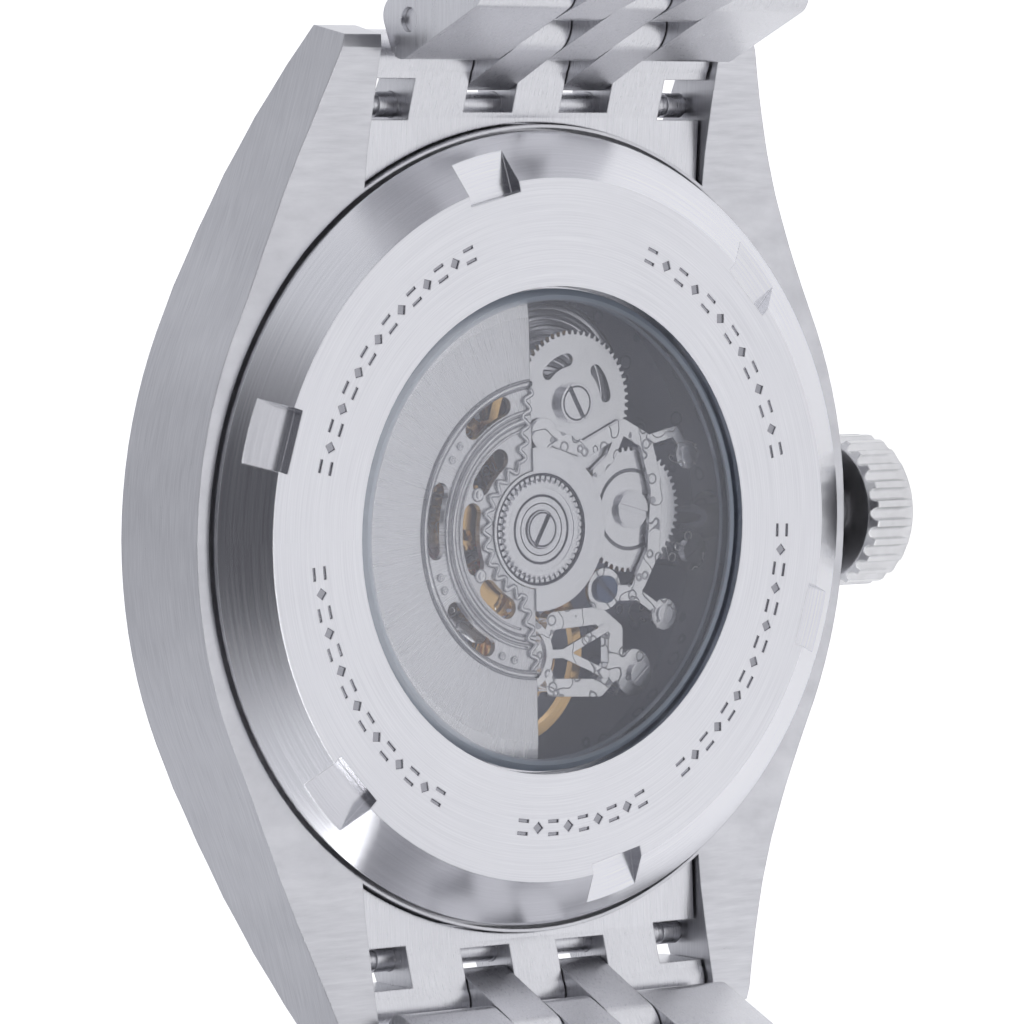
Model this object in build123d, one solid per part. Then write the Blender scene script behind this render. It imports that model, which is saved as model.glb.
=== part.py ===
from build123d import *
from math import asin, atan2, cos, degrees, hypot, pi, radians, sin, sqrt
import os

# Skeleton automatic wristwatch on a five-row steel bracelet, in millimetres.
# Everything is modelled in the watchmaker's frame, seen from the back: x runs towards the crown,
# y towards 6 o'clock and z out of the case back, with z = 0 at the foot of the case back's bevel.
# to_row() turns the finished pieces once, so that the watch lies on its side with 9 o'clock up.

# ---- case -----------------------------------------------------------------------------------
CASE_RADIUS = 20.4            # at the front crease, the widest place
CASE_BACK = -0.4              # the case's back surface
CASE_FRONT = -4.9             # the seat of the bezel
FLANK_DRAFT = 12.5            # degrees that the flank leans in towards the back
LUG_GAP = 20.2                # between the lugs' inner faces
LUG_TIP = 24.3                # from the watch's axis to a lug's end
LUG_FOOT = (18.0, 10.4)       # where a lug leaves the round flank, at the front crease
LUG_WAIST = (15.8, 15.7)      # a point on a lug's hollow side, at the front crease
LUG_TIP_HALF = 13.2           # half the width over the lug tips, at the front crease
LUG_RISE = 1.0                # how high the lug tips bend towards the wrist
CASE_BORE = 16.9              # the bore that the case back screws into
MOVEMENT_BORE = 15.8
HAUNCH_RADIUS = 18.9          # the case wall behind the end links

# ---- bezel and front crystal ---------------------------------------------------------------
BEZEL_FOOT = 19.7
BEZEL_TOP_RADIUS = 17.6
BEZEL_TOP = -7.7
FRONT_GLASS_RADIUS = 16.2
FRONT_GLASS_IN = -6.5
FRONT_GLASS_OUT = -7.9
GASKET = 0.35                 # the thickness of a crystal's gasket

# ---- case back ----------------------------------------------------------------------------
RIM_RADIUS = 18.6
RIM_GAP = 0.15                # the dark ring of clearance around the rim
FLAT_RADIUS = 16.43           # where the bevel meets the flat ring
BACK_TOP = 1.345
WINDOW_RADIUS = 11.4
BACK_GLASS_OUT = 1.2
BACK_GLASS_IN = 0.4
GLASS_CHAMFER = 0.3
LEDGE = 0.45                  # the width of the step that the back crystal sits on
NOTCHES = 6
NOTCH_WIDTH = 3.0
NOTCH_PHASE = 43.35           # degrees from the crown towards 6 o'clock
NOTCH_FLOOR = 0.45
NOTCH_REACH = 15.9
ENGRAVING_RADIUS = 13.9
ENGRAVING_DEPTH = 0.08
LOZENGE = 0.42                # the side of an engraved lozenge
DASH_WIDTH = 0.16
DASH_LENGTH = 0.62
DASH_SPREAD = 0.3
ENGRAVED_ARCS = ((112, 166, 15), (186, 240, 15), (262, 292, 9), (304, 358, 15), (14, 66, 13))

# ---- crown and winding --------------------------------------------------------------------
CROWN_RADIUS = 3.7
CROWN_LENGTH = 2.9
CROWN_INNER = 20.35           # the crown's inner face when pushed in
CROWN_FLUTES = 24
CROWN_HEIGHT = -3.0           # the stem's axis
STEM_RADIUS = 0.6
STEM_INNER = 7.6
STEM_CLEARANCE = 0.05
TUBE_RADIUS = 1.1
WINDING_PINION = (8.3, 9.1)   # from and to along the stem
WINDING_PINION_TEETH = 16
WINDING_PINION_MODULE = 0.125

# ---- movement levels ----------------------------------------------------------------------
PLATE_RADIUS = 12.8
PLATE = (-4.7, -4.0)
DIAL = (-5.1, -4.75)
DIAL_RADIUS = 15.2
DIAL_INNER = 11.6
HOLDER = (-4.6, -1.4)
BARREL = (-3.9, -3.05)
BARREL_TEETH_LEVEL = (-3.9, -3.65)
CENTRE_WHEEL_LEVEL = (-2.98, -2.82)
THIRD_WHEEL_LEVEL = (-2.72, -2.58)
FOURTH_WHEEL_LEVEL = (-2.5, -2.36)
ESCAPE_LEVEL = (-3.45, -3.25)
TRAIN_BRIDGE = (-2.25, -1.75)
BALANCE = (-2.2, -1.8)
HAIRSPRING = (-1.78, -1.64)
COCK = (-1.55, -0.95)
REDUCTION_LEVEL = (-1.62, -1.42)
WINDING_LEVEL = (-1.3, -1.05)
AUTO_BRIDGE = (-1.15, -0.85)
SCROLL_BRIDGE = (-0.93, -0.72)
REVERSER_LEVEL = (-0.75, -0.42)
ROTOR_WEB = (-0.2, 0.1)
ROTOR_WEIGHT = (-0.55, 0.1)
ROTOR_DISC = (0.1, 0.2)
ROTOR_SCREW = 0.3

# ---- movement places and teeth ------------------------------------------------------------
CENTRE = (0.0, 0.0)
BARREL_AT = (2.85, 5.8)
CROWN_WHEEL_AT = (6.4, 0.65)
REDUCTION_AT = (-1.9, 4.3)
THIRD_AT = (-3.95, -1.44)
ESCAPE_AT = (3.75, -1.85)
PALLET_AT = (2.95, -4.55)
BALANCE_AT = (-0.2, -6.0)
BARREL_DRUM_RADIUS = 4.75
BARREL_TEETH, CENTRE_PINION_TEETH = 84, 24
CENTRE_TEETH, THIRD_PINION_TEETH = 80, 10
THIRD_TEETH, FOURTH_PINION_TEETH = 75, 10
FOURTH_TEETH, ESCAPE_PINION_TEETH = 96, 8
RATCHET_TEETH, CROWN_WHEEL_TEETH = 60, 52
RATCHET_SLOTS = (8, 98)       # degrees at which the ratchet wheel's two curved slots start
RATCHET_SLOT_SPAN = 38
ROTOR_PINION_TEETH, REVERSER_TEETH = 40, 24
REVERSER_DISTANCE = 3.9
REVERSER_ANGLES = {"reverser_wheel_a": 170.0, "reverser_wheel_b": 228.0}
REVERSER_PINION_TEETH, REDUCTION_TEETH = 10, 72
ESCAPE_TEETH = 15
ESCAPE_RADIUS = 2.0
ARBOR = 0.22
FIT = 0.02                    # radial clearance of a running pivot
ADDENDUM, DEDENDUM = 0.75, 1.05
TIP_SHARE, ROOT_SHARE = 0.12, 0.29

# ---- balance ------------------------------------------------------------------------------
BALANCE_RADIUS = 4.3
BALANCE_RIM = 0.5
ROLLER_RADIUS = 0.8
HAIRSPRING_TURNS = 6
HAIRSPRING_OUTER = 2.6
HAIRSPRING_INNER = 0.6
HAIRSPRING_WIDTH = 0.07

# ---- rotor --------------------------------------------------------------------------------
ROTOR_RADIUS = 12.35
ROTOR_BEVEL_RADIUS = 10.0
ROTOR_LIP_RADIUS = 11.75
ROTOR_LIP = -1.25
WEIGHT_INNER = 7.1
WEB_INNER = 2.8
WEB_WINDOWS = ((6.2, 0.9, ((109, 19), (160, 25), (214, 24))), (4.1, 1.0, ((124, 22), (166, 34), (220, 20))))
ROTOR_EDGE = -0.38            # the weight's straight edge lies a little to the left of the axis
ROTOR_TURN = 2.0              # degrees that the rotor stands turned at rest
DISC_RADIUS = 3.85
BEARING_RADIUS = 2.35
BEARING_TEETH = 48
RACE_RADIUS = 1.25

# ---- hands --------------------------------------------------------------------------------
HOUR_HAND = (-5.5, -5.32)
MINUTE_HAND = (-5.85, -5.67)
SECONDS_HAND = (-6.15, -6.03)
HOUR_REACH, MINUTE_REACH, SECONDS_REACH = 8.2, 12.6, 13.6

# ---- bracelet -----------------------------------------------------------------------------
LINKS = 13                    # from each end link to the clasp
LINK_PITCH = 3.75             # from pin to pin
LINK_THICKNESS = 3.0
LINK_ROUND = 0.9
NARROW_ROUND = 1.45
LINK_GAP = 0.3                # between two links of one row
NARROW_GAP = 0.75
ROW_GAP = 0.06                # between neighbouring rows
MIDDLE_ROW = 1.4              # half the middle row's width
NARROW_ROW = 2.78
LUG_WIDTH = 20.0
CLASP_WIDTH = 16.0
PIN_RADIUS = 0.55
FIRST_PIN = (22.0, -0.85)     # y and z of the pin in the end link
SIX_BENDS = (64, 2, 4, 4, 4, 4, 4, 4, 2, 2, 0, 6, 20)       # degrees at each pin, worn on a wrist
TWELVE_BENDS = (64, 2, 8, 7, 6, 4, 4, 4, 4, 4, 4, 6, 8)
END_LINK_GAP = 0.12
SPRING_BAR_AT = (19.8, -1.8)
SPRING_BAR_RADIUS = 0.6
SPRING_TIP_RADIUS = 0.4
SPRING_TIP_REACH = 0.9
END_WINDOW = (7.45, 19.1, 21.0)   # inner x, and from and to along y

# ---- clasp --------------------------------------------------------------------------------
CLASP_RADIUS = 50.0
COVER_PLATE = (50.2, 51.2)
MIDDLE_BLADE = (48.95, 49.65)
LOWER_BLADE = (47.95, 48.65)
COVER_END = 3.4               # degrees from the hinged end's pin to the plate
COVER_FREE_END = 2.7          # the same at the free end
BLADE_END = 5.4               # degrees from the end pins to the blades' hinges
COVER_WALL = 0.8
BLADE_HALF_WIDTH = 5.2
KNUCKLE_HALF = 2.5
KNUCKLE_RADIUS = 0.75
CLASP_PIN = 0.4


# ---- small helpers --------------------------------------------------------------------------
def slab(sketch, levels):
    """A flat sketch made into a plate between two heights."""
    return Pos(0, 0, levels[0]) * extrude(sketch, levels[1] - levels[0])


def disc(radius, levels, at=CENTRE):
    return Pos(at[0], at[1], sum(levels) / 2) * Cylinder(radius, levels[1] - levels[0])


def ring(outer, inner, levels, at=CENTRE):
    return disc(outer, levels, at) - disc(inner, (levels[0] - 1, levels[1] + 1), at)


def turned(*points):
    """A solid turned about the watch's axis from (radius, height) corners."""
    return revolve(Plane.XZ * make_face(Polyline(*points, close=True)), Axis.Z)


def polar(radius, angle):
    return (radius * cos(radians(angle)), radius * sin(radians(angle)))


def apart(a, b):
    return hypot(b[0] - a[0], b[1] - a[1])


def bearing(a, b):
    return degrees(atan2(b[1] - a[1], b[0] - a[0]))


def band(points, width):
    """A strap of even width with round joints, along a row of points."""
    strap = Sketch()
    for start, end in zip(points, points[1:]):
        middle = ((start[0] + end[0]) / 2, (start[1] + end[1]) / 2)
        piece = SlotCenterToCenter(apart(start, end), width)
        strap += Pos(*middle) * Rot(0, 0, bearing(start, end)) * piece
    return strap


def arc_slot(radius, start, sweep, width):
    return SlotArc(CenterArc((0, 0), radius, start, sweep), width)


def across(sketch, start, end):
    """A sketch in (y, z) drawn out along x, the bracelet's width."""
    plane = Plane(origin=(start, 0, 0), x_dir=(0, 1, 0), z_dir=(1, 0, 0))
    return extrude(plane * sketch, end - start)


def bar(radius, start, end, at):
    """A round bar along x at (y, z)."""
    return across(Pos(*at) * Circle(radius), start, end)


# ---- gears ----------------------------------------------------------------------------------
def module_for(distance, teeth_a, teeth_b):
    return 2 * distance / (teeth_a + teeth_b)


def meshed_phase(phase, teeth, other_teeth, line):
    """The phase that puts the other gear's teeth in this one's gaps, on a line of centres."""
    shift = (phase - line) * teeth / 360
    return line + 180 + (0.5 - shift) * 360 / other_teeth


def gear_face(teeth, module, phase=0.0):
    """A toothed outline with straight flanks, its first tooth pointing along phase."""
    pitch_radius = teeth * module / 2
    tip, root = pitch_radius + ADDENDUM * module, pitch_radius - DEDENDUM * module
    step = 360 / teeth
    flank = ((root, -ROOT_SHARE), (tip, -TIP_SHARE), (tip, TIP_SHARE), (root, ROOT_SHARE))
    corners = []
    for tooth in range(teeth):
        for radius, share in flank:
            corners.append(polar(radius, phase + (tooth + share) * step))
    return make_face(Polyline(*corners, close=True))


def spoked(face, outer, inner, spokes, width):
    """Cuts windows between a wheel's hub and rim, leaving straight spokes."""
    window = Circle(outer) - Circle(inner)
    for spoke in range(spokes):
        window -= Rot(0, 0, spoke * 360 / spokes) * Pos(outer / 2, 0) * Rectangle(outer * 1.1, width)
    return face - window


def train_wheel(at, teeth, module, level, phase, spokes, pinion=None):
    """A going-train wheel: a spoked rim on a plain arbor, with an optional (teeth, module, levels, phase)."""
    rim = teeth * module / 2 - DEDENDUM * module - 0.3
    wheel = slab(spoked(gear_face(teeth, module, phase), rim, 0.75, spokes, 0.34), level)
    if pinion:
        leaves, pinion_module, levels, pinion_phase = pinion
        wheel += slab(gear_face(leaves, pinion_module, pinion_phase), levels)
    return Pos(*at) * wheel


# ---- case ---------------------------------------------------------------------------------
def lug_profile():
    """The case seen along x: its back bends up into the lug tips and its front bends down to them."""
    half = [
        (0, CASE_BACK), (13.0, CASE_BACK), (15.5, CASE_BACK + 0.1), (17.5, CASE_BACK + 0.35),
        (20.0, CASE_BACK + 0.85), (22.4, LUG_RISE), (23.4, LUG_RISE - 0.05), (24.0, LUG_RISE - 0.35),
        (LUG_TIP, LUG_RISE - 0.8), (24.1, -0.4), (23.3, -1.0), (21.6, -2.0), (19.2, -3.15),
        (16.6, -4.05), (14.0, -4.6), (11.5, CASE_FRONT), (0, CASE_FRONT),
    ]
    mirrored = [(-y, z) for y, z in reversed(half)]
    return make_face(Polyline(*half, *mirrored[1:-1], close=True))


def case_outline():
    """The plan of the case at its front crease: two round flanks and four lugs with hollow sides."""
    foot, waist, tip = LUG_FOOT, LUG_WAIST, (LUG_TIP_HALF, LUG_TIP)
    edges = ThreePointArc((foot[0], -foot[1]), (CASE_RADIUS, 0), foot)
    edges += ThreePointArc(foot, waist, tip)
    edges += Line(tip, (-tip[0], tip[1]))
    edges += ThreePointArc((-tip[0], tip[1]), (-waist[0], waist[1]), (-foot[0], foot[1]))
    edges += ThreePointArc((-foot[0], foot[1]), (-CASE_RADIUS, 0), (-foot[0], -foot[1]))
    edges += ThreePointArc((-foot[0], -foot[1]), (-waist[0], -waist[1]), (-tip[0], -tip[1]))
    edges += Line((-tip[0], -tip[1]), (tip[0], -tip[1]))
    edges += ThreePointArc((tip[0], -tip[1]), (waist[0], -waist[1]), (foot[0], -foot[1]))
    return make_face(edges)


def case_body():
    blank = extrude(Pos(0, 0, CASE_FRONT) * case_outline(), LUG_RISE - CASE_FRONT + 0.3, taper=FLANK_DRAFT)
    body = blank & across(lug_profile(), -CASE_RADIUS - 1, CASE_RADIUS + 1)
    gap = Rectangle(LUG_GAP, 3 * LUG_TIP) - Circle(HAUNCH_RADIUS)
    body -= slab(gap, (CASE_FRONT - 1, LUG_RISE + 1))
    body -= turned(
        (0, LUG_RISE + 1), (RIM_RADIUS + RIM_GAP, LUG_RISE + 1), (RIM_RADIUS + RIM_GAP, -1.1),
        (CASE_BORE, -1.1), (CASE_BORE, -3.0), (MOVEMENT_BORE, -3.0), (MOVEMENT_BORE, CASE_FRONT - 1),
        (0, CASE_FRONT - 1),
    )
    body -= along_stem(TUBE_RADIUS, MOVEMENT_BORE - 1, CASE_RADIUS + 1)
    body -= along_stem(CROWN_RADIUS - 1.9, CASE_RADIUS - 0.7, CASE_RADIUS + 1)
    tips = LUG_GAP / 2 + SPRING_TIP_REACH
    for side in (1, -1):
        body -= bar(SPRING_TIP_RADIUS + FIT, -tips, tips, (side * SPRING_BAR_AT[0], SPRING_BAR_AT[1]))
    return body


def bezel():
    seat = FRONT_GLASS_RADIUS + GASKET
    return turned(
        (BEZEL_FOOT, CASE_FRONT), (BEZEL_FOOT + 0.25, CASE_FRONT - 0.35), (BEZEL_FOOT, CASE_FRONT - 0.9),
        (BEZEL_TOP_RADIUS, BEZEL_TOP), (seat, BEZEL_TOP), (seat, FRONT_GLASS_IN),
        (DIAL_RADIUS + 0.4, FRONT_GLASS_IN), (DIAL_RADIUS - 0.1, DIAL[0] - 0.1),
        (MOVEMENT_BORE, DIAL[0] - 0.1), (MOVEMENT_BORE, CASE_FRONT),
    )


def front_crystal():
    edge = FRONT_GLASS_RADIUS
    return turned(
        (0, FRONT_GLASS_IN), (edge, FRONT_GLASS_IN), (edge, FRONT_GLASS_OUT + GLASS_CHAMFER),
        (edge - GLASS_CHAMFER, FRONT_GLASS_OUT), (0, FRONT_GLASS_OUT),
    )


def engraving():
    """Engraved lozenges and double dashes along the five arcs of the case back's flat ring."""
    marks = []
    floor = BACK_TOP - ENGRAVING_DEPTH
    for start, end, count in ENGRAVED_ARCS:
        for n in range(count):
            angle = start + (end - start) * n / (count - 1)
            place = Rot(0, 0, angle) * Pos(ENGRAVING_RADIUS, 0, floor + 0.5)
            if n % 2:
                marks.append(place * Rot(0, 0, 45) * Box(LOZENGE, LOZENGE, 1))
            else:
                marks.append(place * Pos(DASH_SPREAD, 0, 0) * Box(DASH_WIDTH, DASH_LENGTH, 1))
                marks.append(place * Pos(-DASH_SPREAD, 0, 0) * Box(DASH_WIDTH, DASH_LENGTH, 1))
    return marks


def caseback():
    skirt = CASE_BORE - 0.05
    ledge = WINDOW_RADIUS - LEDGE
    body = turned(
        (skirt, -1.1), (RIM_RADIUS, -1.1), (RIM_RADIUS, 0),
        (FLAT_RADIUS, BACK_TOP), (WINDOW_RADIUS, BACK_TOP),
        (WINDOW_RADIUS, BACK_GLASS_IN), (ledge, BACK_GLASS_IN), (ledge, 0.22), (13.2, 0.22),
        (15.9, -1.0), (15.9, -2.2), (skirt, -2.2),
    )
    length = RIM_RADIUS - NOTCH_REACH + 1
    for notch in range(NOTCHES):
        floor = Pos(NOTCH_REACH + length / 2, 0, NOTCH_FLOOR + 1) * Rot(0, 6, 0) * Box(length, NOTCH_WIDTH, 2)
        body -= Rot(0, 0, NOTCH_PHASE + notch * 360 / NOTCHES) * floor
    return body - engraving()


def caseback_crystal():
    edge = WINDOW_RADIUS - GASKET / 3
    return turned(
        (0, BACK_GLASS_IN), (edge, BACK_GLASS_IN), (edge, BACK_GLASS_OUT - GLASS_CHAMFER),
        (edge - GLASS_CHAMFER, BACK_GLASS_OUT), (0, BACK_GLASS_OUT),
    )


# ---- crown --------------------------------------------------------------------------------
def along_stem(radius, start, end):
    """A round bar or bore on the stem's axis."""
    return bar(radius, start, end, (0, CROWN_HEIGHT))


def crown():
    outer_end = CROWN_INNER + CROWN_LENGTH
    body = along_stem(CROWN_RADIUS, CROWN_INNER, outer_end)
    body = chamfer(body.edges().filter_by(GeomType.CIRCLE), 0.35)
    pitch = 2 * pi * CROWN_RADIUS / CROWN_FLUTES
    for flute in range(CROWN_FLUTES):
        at = polar(CROWN_RADIUS + 0.05, flute * 360 / CROWN_FLUTES)
        body -= bar(0.34 * pitch, CROWN_INNER - 1, outer_end + 1, (at[0], at[1] + CROWN_HEIGHT))
    return body - along_stem(STEM_RADIUS + FIT, CROWN_INNER - 1, CROWN_INNER + 1.8)


def winding_stem():
    """The stem from the crown's blind hole to the end of its square, beyond the winding pinion."""
    stem = along_stem(STEM_RADIUS, STEM_INNER, CROWN_INNER + 1.7)
    return stem + along_stem(TUBE_RADIUS - STEM_CLEARANCE, MOVEMENT_BORE + 1.2, CROWN_INNER)


def winding_pinion():
    start, end = WINDING_PINION
    face = Pos(0, CROWN_HEIGHT) * gear_face(WINDING_PINION_TEETH, WINDING_PINION_MODULE)
    return across(face, start, end) - along_stem(STEM_RADIUS + FIT, start - 1, end + 1)


# ---- movement frame -----------------------------------------------------------------------
def movement_holder():
    holder = ring(MOVEMENT_BORE - 0.1, PLATE_RADIUS + 0.05, (HOLDER[0], -2.75 - 0.6))
    holder += ring(15.2, PLATE_RADIUS + 0.05, (-3.5, HOLDER[1]))
    return holder - along_stem(TUBE_RADIUS + 0.1, PLATE_RADIUS - 1, MOVEMENT_BORE + 1)


def mainplate():
    """The skeletonised plate: a rim, cut right through under the barrel, the train and the balance."""
    face = Circle(PLATE_RADIUS)
    face -= Pos(*BARREL_AT) * (Circle(3.7) - Circle(1.3))
    face += band([BARREL_AT, (BARREL_AT[0] + 4, BARREL_AT[1] + 1.6)], 0.9)
    face += band([(BARREL_AT[0] - 4, BARREL_AT[1] - 1), BARREL_AT], 0.9)
    face -= Pos(*BALANCE_AT) * (Circle(4.2) - Circle(1.0))
    face += band([(BALANCE_AT[0] - 4.4, BALANCE_AT[1] - 0.8), BALANCE_AT], 0.9)
    face += band([BALANCE_AT, (BALANCE_AT[0] + 3.6, BALANCE_AT[1] + 2.6)], 0.9)
    face -= arc_slot(9.2, 140, 62, 3.6)
    face -= Pos(*THIRD_AT) * (Circle(1.9) - Circle(0.8))
    face += band([THIRD_AT, (THIRD_AT[0] + 2.4, THIRD_AT[1] + 1)], 0.8)
    face += band([(THIRD_AT[0] - 2, THIRD_AT[1] - 1.2), THIRD_AT], 0.8)
    plate = slab(face, PLATE)
    bores = (BARREL_AT, BALANCE_AT, THIRD_AT, ESCAPE_AT, PALLET_AT)
    for at in bores:
        plate -= disc(ARBOR + FIT, (PLATE[0] - 1, PLATE[1] + 1), at)
    plate -= disc(1.25, (PLATE[0] - 1, PLATE[1] + 1))
    plate -= along_stem(1.35, WINDING_PINION[0] - 0.3, WINDING_PINION[1] + 0.3)
    for at in BRIDGE_FEET + COCK_FEET:
        plate += disc(0.8, (PLATE[1], TRAIN_BRIDGE[0]), at)
    return plate


BRIDGE_FEET = [polar(10.6, 160), polar(10.9, -8), polar(10.6, 118)]
COCK_FEET = [(6.6, -7.4)]


def train_bridge():
    """The three-armed bridge over the going train, whose post carries the rotor's bearing."""
    face = Circle(1.3)
    for foot in BRIDGE_FEET:
        face += band([CENTRE, foot], 1.2)
        face += Pos(*foot) * Circle(0.95)
    face += band([CENTRE, THIRD_AT], 1.1) + band([CENTRE, ESCAPE_AT], 1.1)
    face += Pos(*ESCAPE_AT) * Circle(0.7)
    face += Pos(*THIRD_AT) * Circle(0.7)
    face += band([CENTRE, BARREL_AT], 1.3) + band([BARREL_AT, BRIDGE_FEET[2]], 1.3)
    face += Pos(*BARREL_AT) * Circle(1.4)
    face += band([CENTRE, CROWN_WHEEL_AT, BRIDGE_FEET[1]], 1.1)
    bridge = slab(face, TRAIN_BRIDGE) - disc(0.5, (TRAIN_BRIDGE[0] - 1, TRAIN_BRIDGE[1] + 1), BARREL_AT)
    bridge += disc(0.5, (TRAIN_BRIDGE[1], WINDING_LEVEL[1] + 0.02), CROWN_WHEEL_AT)
    bridge -= along_stem(1.25, WINDING_PINION[0] - 0.2, WINDING_PINION[1] + 0.2)
    for at in (THIRD_AT, ESCAPE_AT):
        bridge -= disc(ARBOR + FIT, (TRAIN_BRIDGE[0] - 1, TRAIN_BRIDGE[1] + 1), at)
    return bridge + disc(0.9, (TRAIN_BRIDGE[1], AUTO_BRIDGE[0]))


def automatic_bridge():
    """The open plate under the rotor that carries the reversing wheels and the reduction wheel."""
    face = Circle(1.5)
    for angle in REVERSER_ANGLES.values():
        face += band([CENTRE, polar(REVERSER_DISTANCE, angle)], 1.0)
        face += Pos(*polar(REVERSER_DISTANCE, angle)) * Circle(1.05)
    face += arc_slot(REVERSER_DISTANCE + 1.75, 165, 75, 0.8)
    face += band([polar(5.6, 170), polar(9.6, 176)], 0.9) + band([polar(5.6, 228), polar(9.4, 205)], 0.9)
    face += band([CENTRE, (-1.2, 2.6), REDUCTION_AT], 0.9)
    face += Pos(*REDUCTION_AT) * Circle(0.7)
    bridge = slab(face, AUTO_BRIDGE)
    for angle in REVERSER_ANGLES.values():
        bridge -= disc(0.64, (AUTO_BRIDGE[0] - 1, AUTO_BRIDGE[1] + 1), polar(REVERSER_DISTANCE, angle))
    bridge -= disc(ARBOR + FIT, (AUTO_BRIDGE[0] - 1, AUTO_BRIDGE[1] + 1), REDUCTION_AT)
    for foot in (polar(9.6, 176), polar(9.4, 205)):
        bridge += disc(0.6, (PLATE[1], AUTO_BRIDGE[0]), foot) + disc(0.75, AUTO_BRIDGE, foot)
    return bridge + disc(0.9, (AUTO_BRIDGE[1], ROTOR_SCREW - 0.42))


def scroll_bridge():
    """The engraved scroll that runs over the ratchet and crown wheels down to the blued screw."""
    spine = [
        (0.9, 4.4), (3.4, 3.6), (5.7, 4.6), (7.1, 3.9),
        (7.8, 1.6), (7.6, -1.4), (6.5, -3.3), (4.6, -3.25),
    ]
    face = band(spine, 0.75)
    face += band([(7.1, 3.9), (8.9, 4.3), (9.7, 3.2)], 0.5) + band([(6.5, -3.3), (8.3, -4.4)], 0.55)
    face += band([(5.7, 4.6), (4.9, 3.1), (4.1, 2.5)], 0.5)
    face += Pos(4.6, -3.05) * Circle(1.0)
    face += Pos(0.9, 4.4) * Circle(0.75)
    face -= Pos(*BARREL_AT) * Circle(1.05)
    bridge = slab(face, SCROLL_BRIDGE)
    bridge += disc(0.45, (PLATE[1], SCROLL_BRIDGE[0]), (9.7, 3.2))
    bridge += disc(0.5, (PLATE[1], SCROLL_BRIDGE[0]), (8.3, -4.4))
    return bridge + disc(0.7, SCROLL_BRIDGE, (9.7, 3.2)) + disc(0.75, SCROLL_BRIDGE, (8.3, -4.4))


def balance_cock():
    """The cock over the balance, with two scrolled arms, and its regulator with a forked index."""
    arms = band([(1.7, -4.45), (4.4, -4.3), (5.5, -5.1), (5.5, -6.9), (4.5, -7.75), (1.7, -7.6)], 0.85)
    arms += band([(5.5, -6.9), (6.6, -7.1)], 1.1)
    arms += Pos(6.6, -7.1) * Circle(1.1)
    arms += band([(1.7, -4.45), (0.9, -6.0), (1.7, -7.6)], 0.55)
    arms += band([BALANCE_AT, (1.0, -6.0)], 0.9)
    arms += Pos(*BALANCE_AT) * Circle(0.85)
    cock = slab(arms, COCK)
    cock -= disc(ARBOR + FIT, (COCK[0] - 1, COCK[1] - 0.3), BALANCE_AT)
    cock += disc(0.95, (TRAIN_BRIDGE[0], COCK[0]), COCK_FEET[0])
    level = (COCK[1], COCK[1] + 0.16)
    index = Pos(*BALANCE_AT) * (Circle(1.75) - Circle(1.35))
    index += band([(1.45, -6.0), (2.2, -6.0), (4.8, -4.9)], 0.42) + band([(2.2, -6.0), (4.8, -7.1)], 0.42)
    return cock + slab(index, level)


# ---- winding and automatic work -----------------------------------------------------------
WINDING_MODULE = module_for(apart(BARREL_AT, CROWN_WHEEL_AT), RATCHET_TEETH, CROWN_WHEEL_TEETH)


def ratchet_wheel():
    face = gear_face(RATCHET_TEETH, WINDING_MODULE)
    for start in RATCHET_SLOTS:
        face -= arc_slot(2.05, start, RATCHET_SLOT_SPAN, 0.62)
    hole = disc(0.5, (WINDING_LEVEL[0] - 1, WINDING_LEVEL[1] + 1))
    return Pos(*BARREL_AT) * (slab(face, WINDING_LEVEL) - hole)


def ratchet_arbor():
    """The barrel arbor, from the main plate up to the ratchet wheel's screw."""
    arbor = disc(0.48, (BARREL[1] + 0.05, WINDING_LEVEL[1]), BARREL_AT)
    return arbor + disc(ARBOR, (PLATE[0], BARREL[1] + 0.05), BARREL_AT)


def crown_wheel():
    line = bearing(BARREL_AT, CROWN_WHEEL_AT)
    phase = meshed_phase(0, RATCHET_TEETH, CROWN_WHEEL_TEETH, line)
    wheel = slab(gear_face(CROWN_WHEEL_TEETH, WINDING_MODULE, phase), WINDING_LEVEL)
    wheel -= ring(1.95, 1.8, (WINDING_LEVEL[1] - 0.08, WINDING_LEVEL[1] + 1))
    wheel -= disc(0.5 + FIT, (WINDING_LEVEL[0] - 1, WINDING_LEVEL[1] + 1))
    return Pos(*CROWN_WHEEL_AT) * wheel


def barrel():
    """The mainspring barrel: a toothed drum with a snailed lid, over its coiled spring."""
    line = bearing(CENTRE, BARREL_AT)
    phase = meshed_phase(0, CENTRE_PINION_TEETH, BARREL_TEETH, line)
    module = module_for(apart(CENTRE, BARREL_AT), BARREL_TEETH, CENTRE_PINION_TEETH)
    drum = slab(gear_face(BARREL_TEETH, module, phase), BARREL_TEETH_LEVEL)
    drum += disc(BARREL_DRUM_RADIUS, (BARREL_TEETH_LEVEL[1], BARREL[1]))
    drum -= disc(BARREL_DRUM_RADIUS - 0.5, (BARREL_TEETH_LEVEL[0] + 0.3, BARREL[1] - 0.3))
    for groove in range(4):
        middle = BARREL_DRUM_RADIUS - 0.35 - 0.3 * groove
        drum -= ring(middle + 0.06, middle - 0.06, (BARREL[1] - 0.08, BARREL[1] + 1))
    return Pos(*BARREL_AT) * (drum - disc(ARBOR + FIT, (BARREL[0] - 1, BARREL[1] + 1)))


ROTOR_MODULE = module_for(REVERSER_DISTANCE, ROTOR_PINION_TEETH, REVERSER_TEETH)
REDUCTION_MODULE = module_for(
    apart(polar(REVERSER_DISTANCE, REVERSER_ANGLES["reverser_wheel_a"]), REDUCTION_AT),
    REVERSER_PINION_TEETH, REDUCTION_TEETH)


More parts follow.
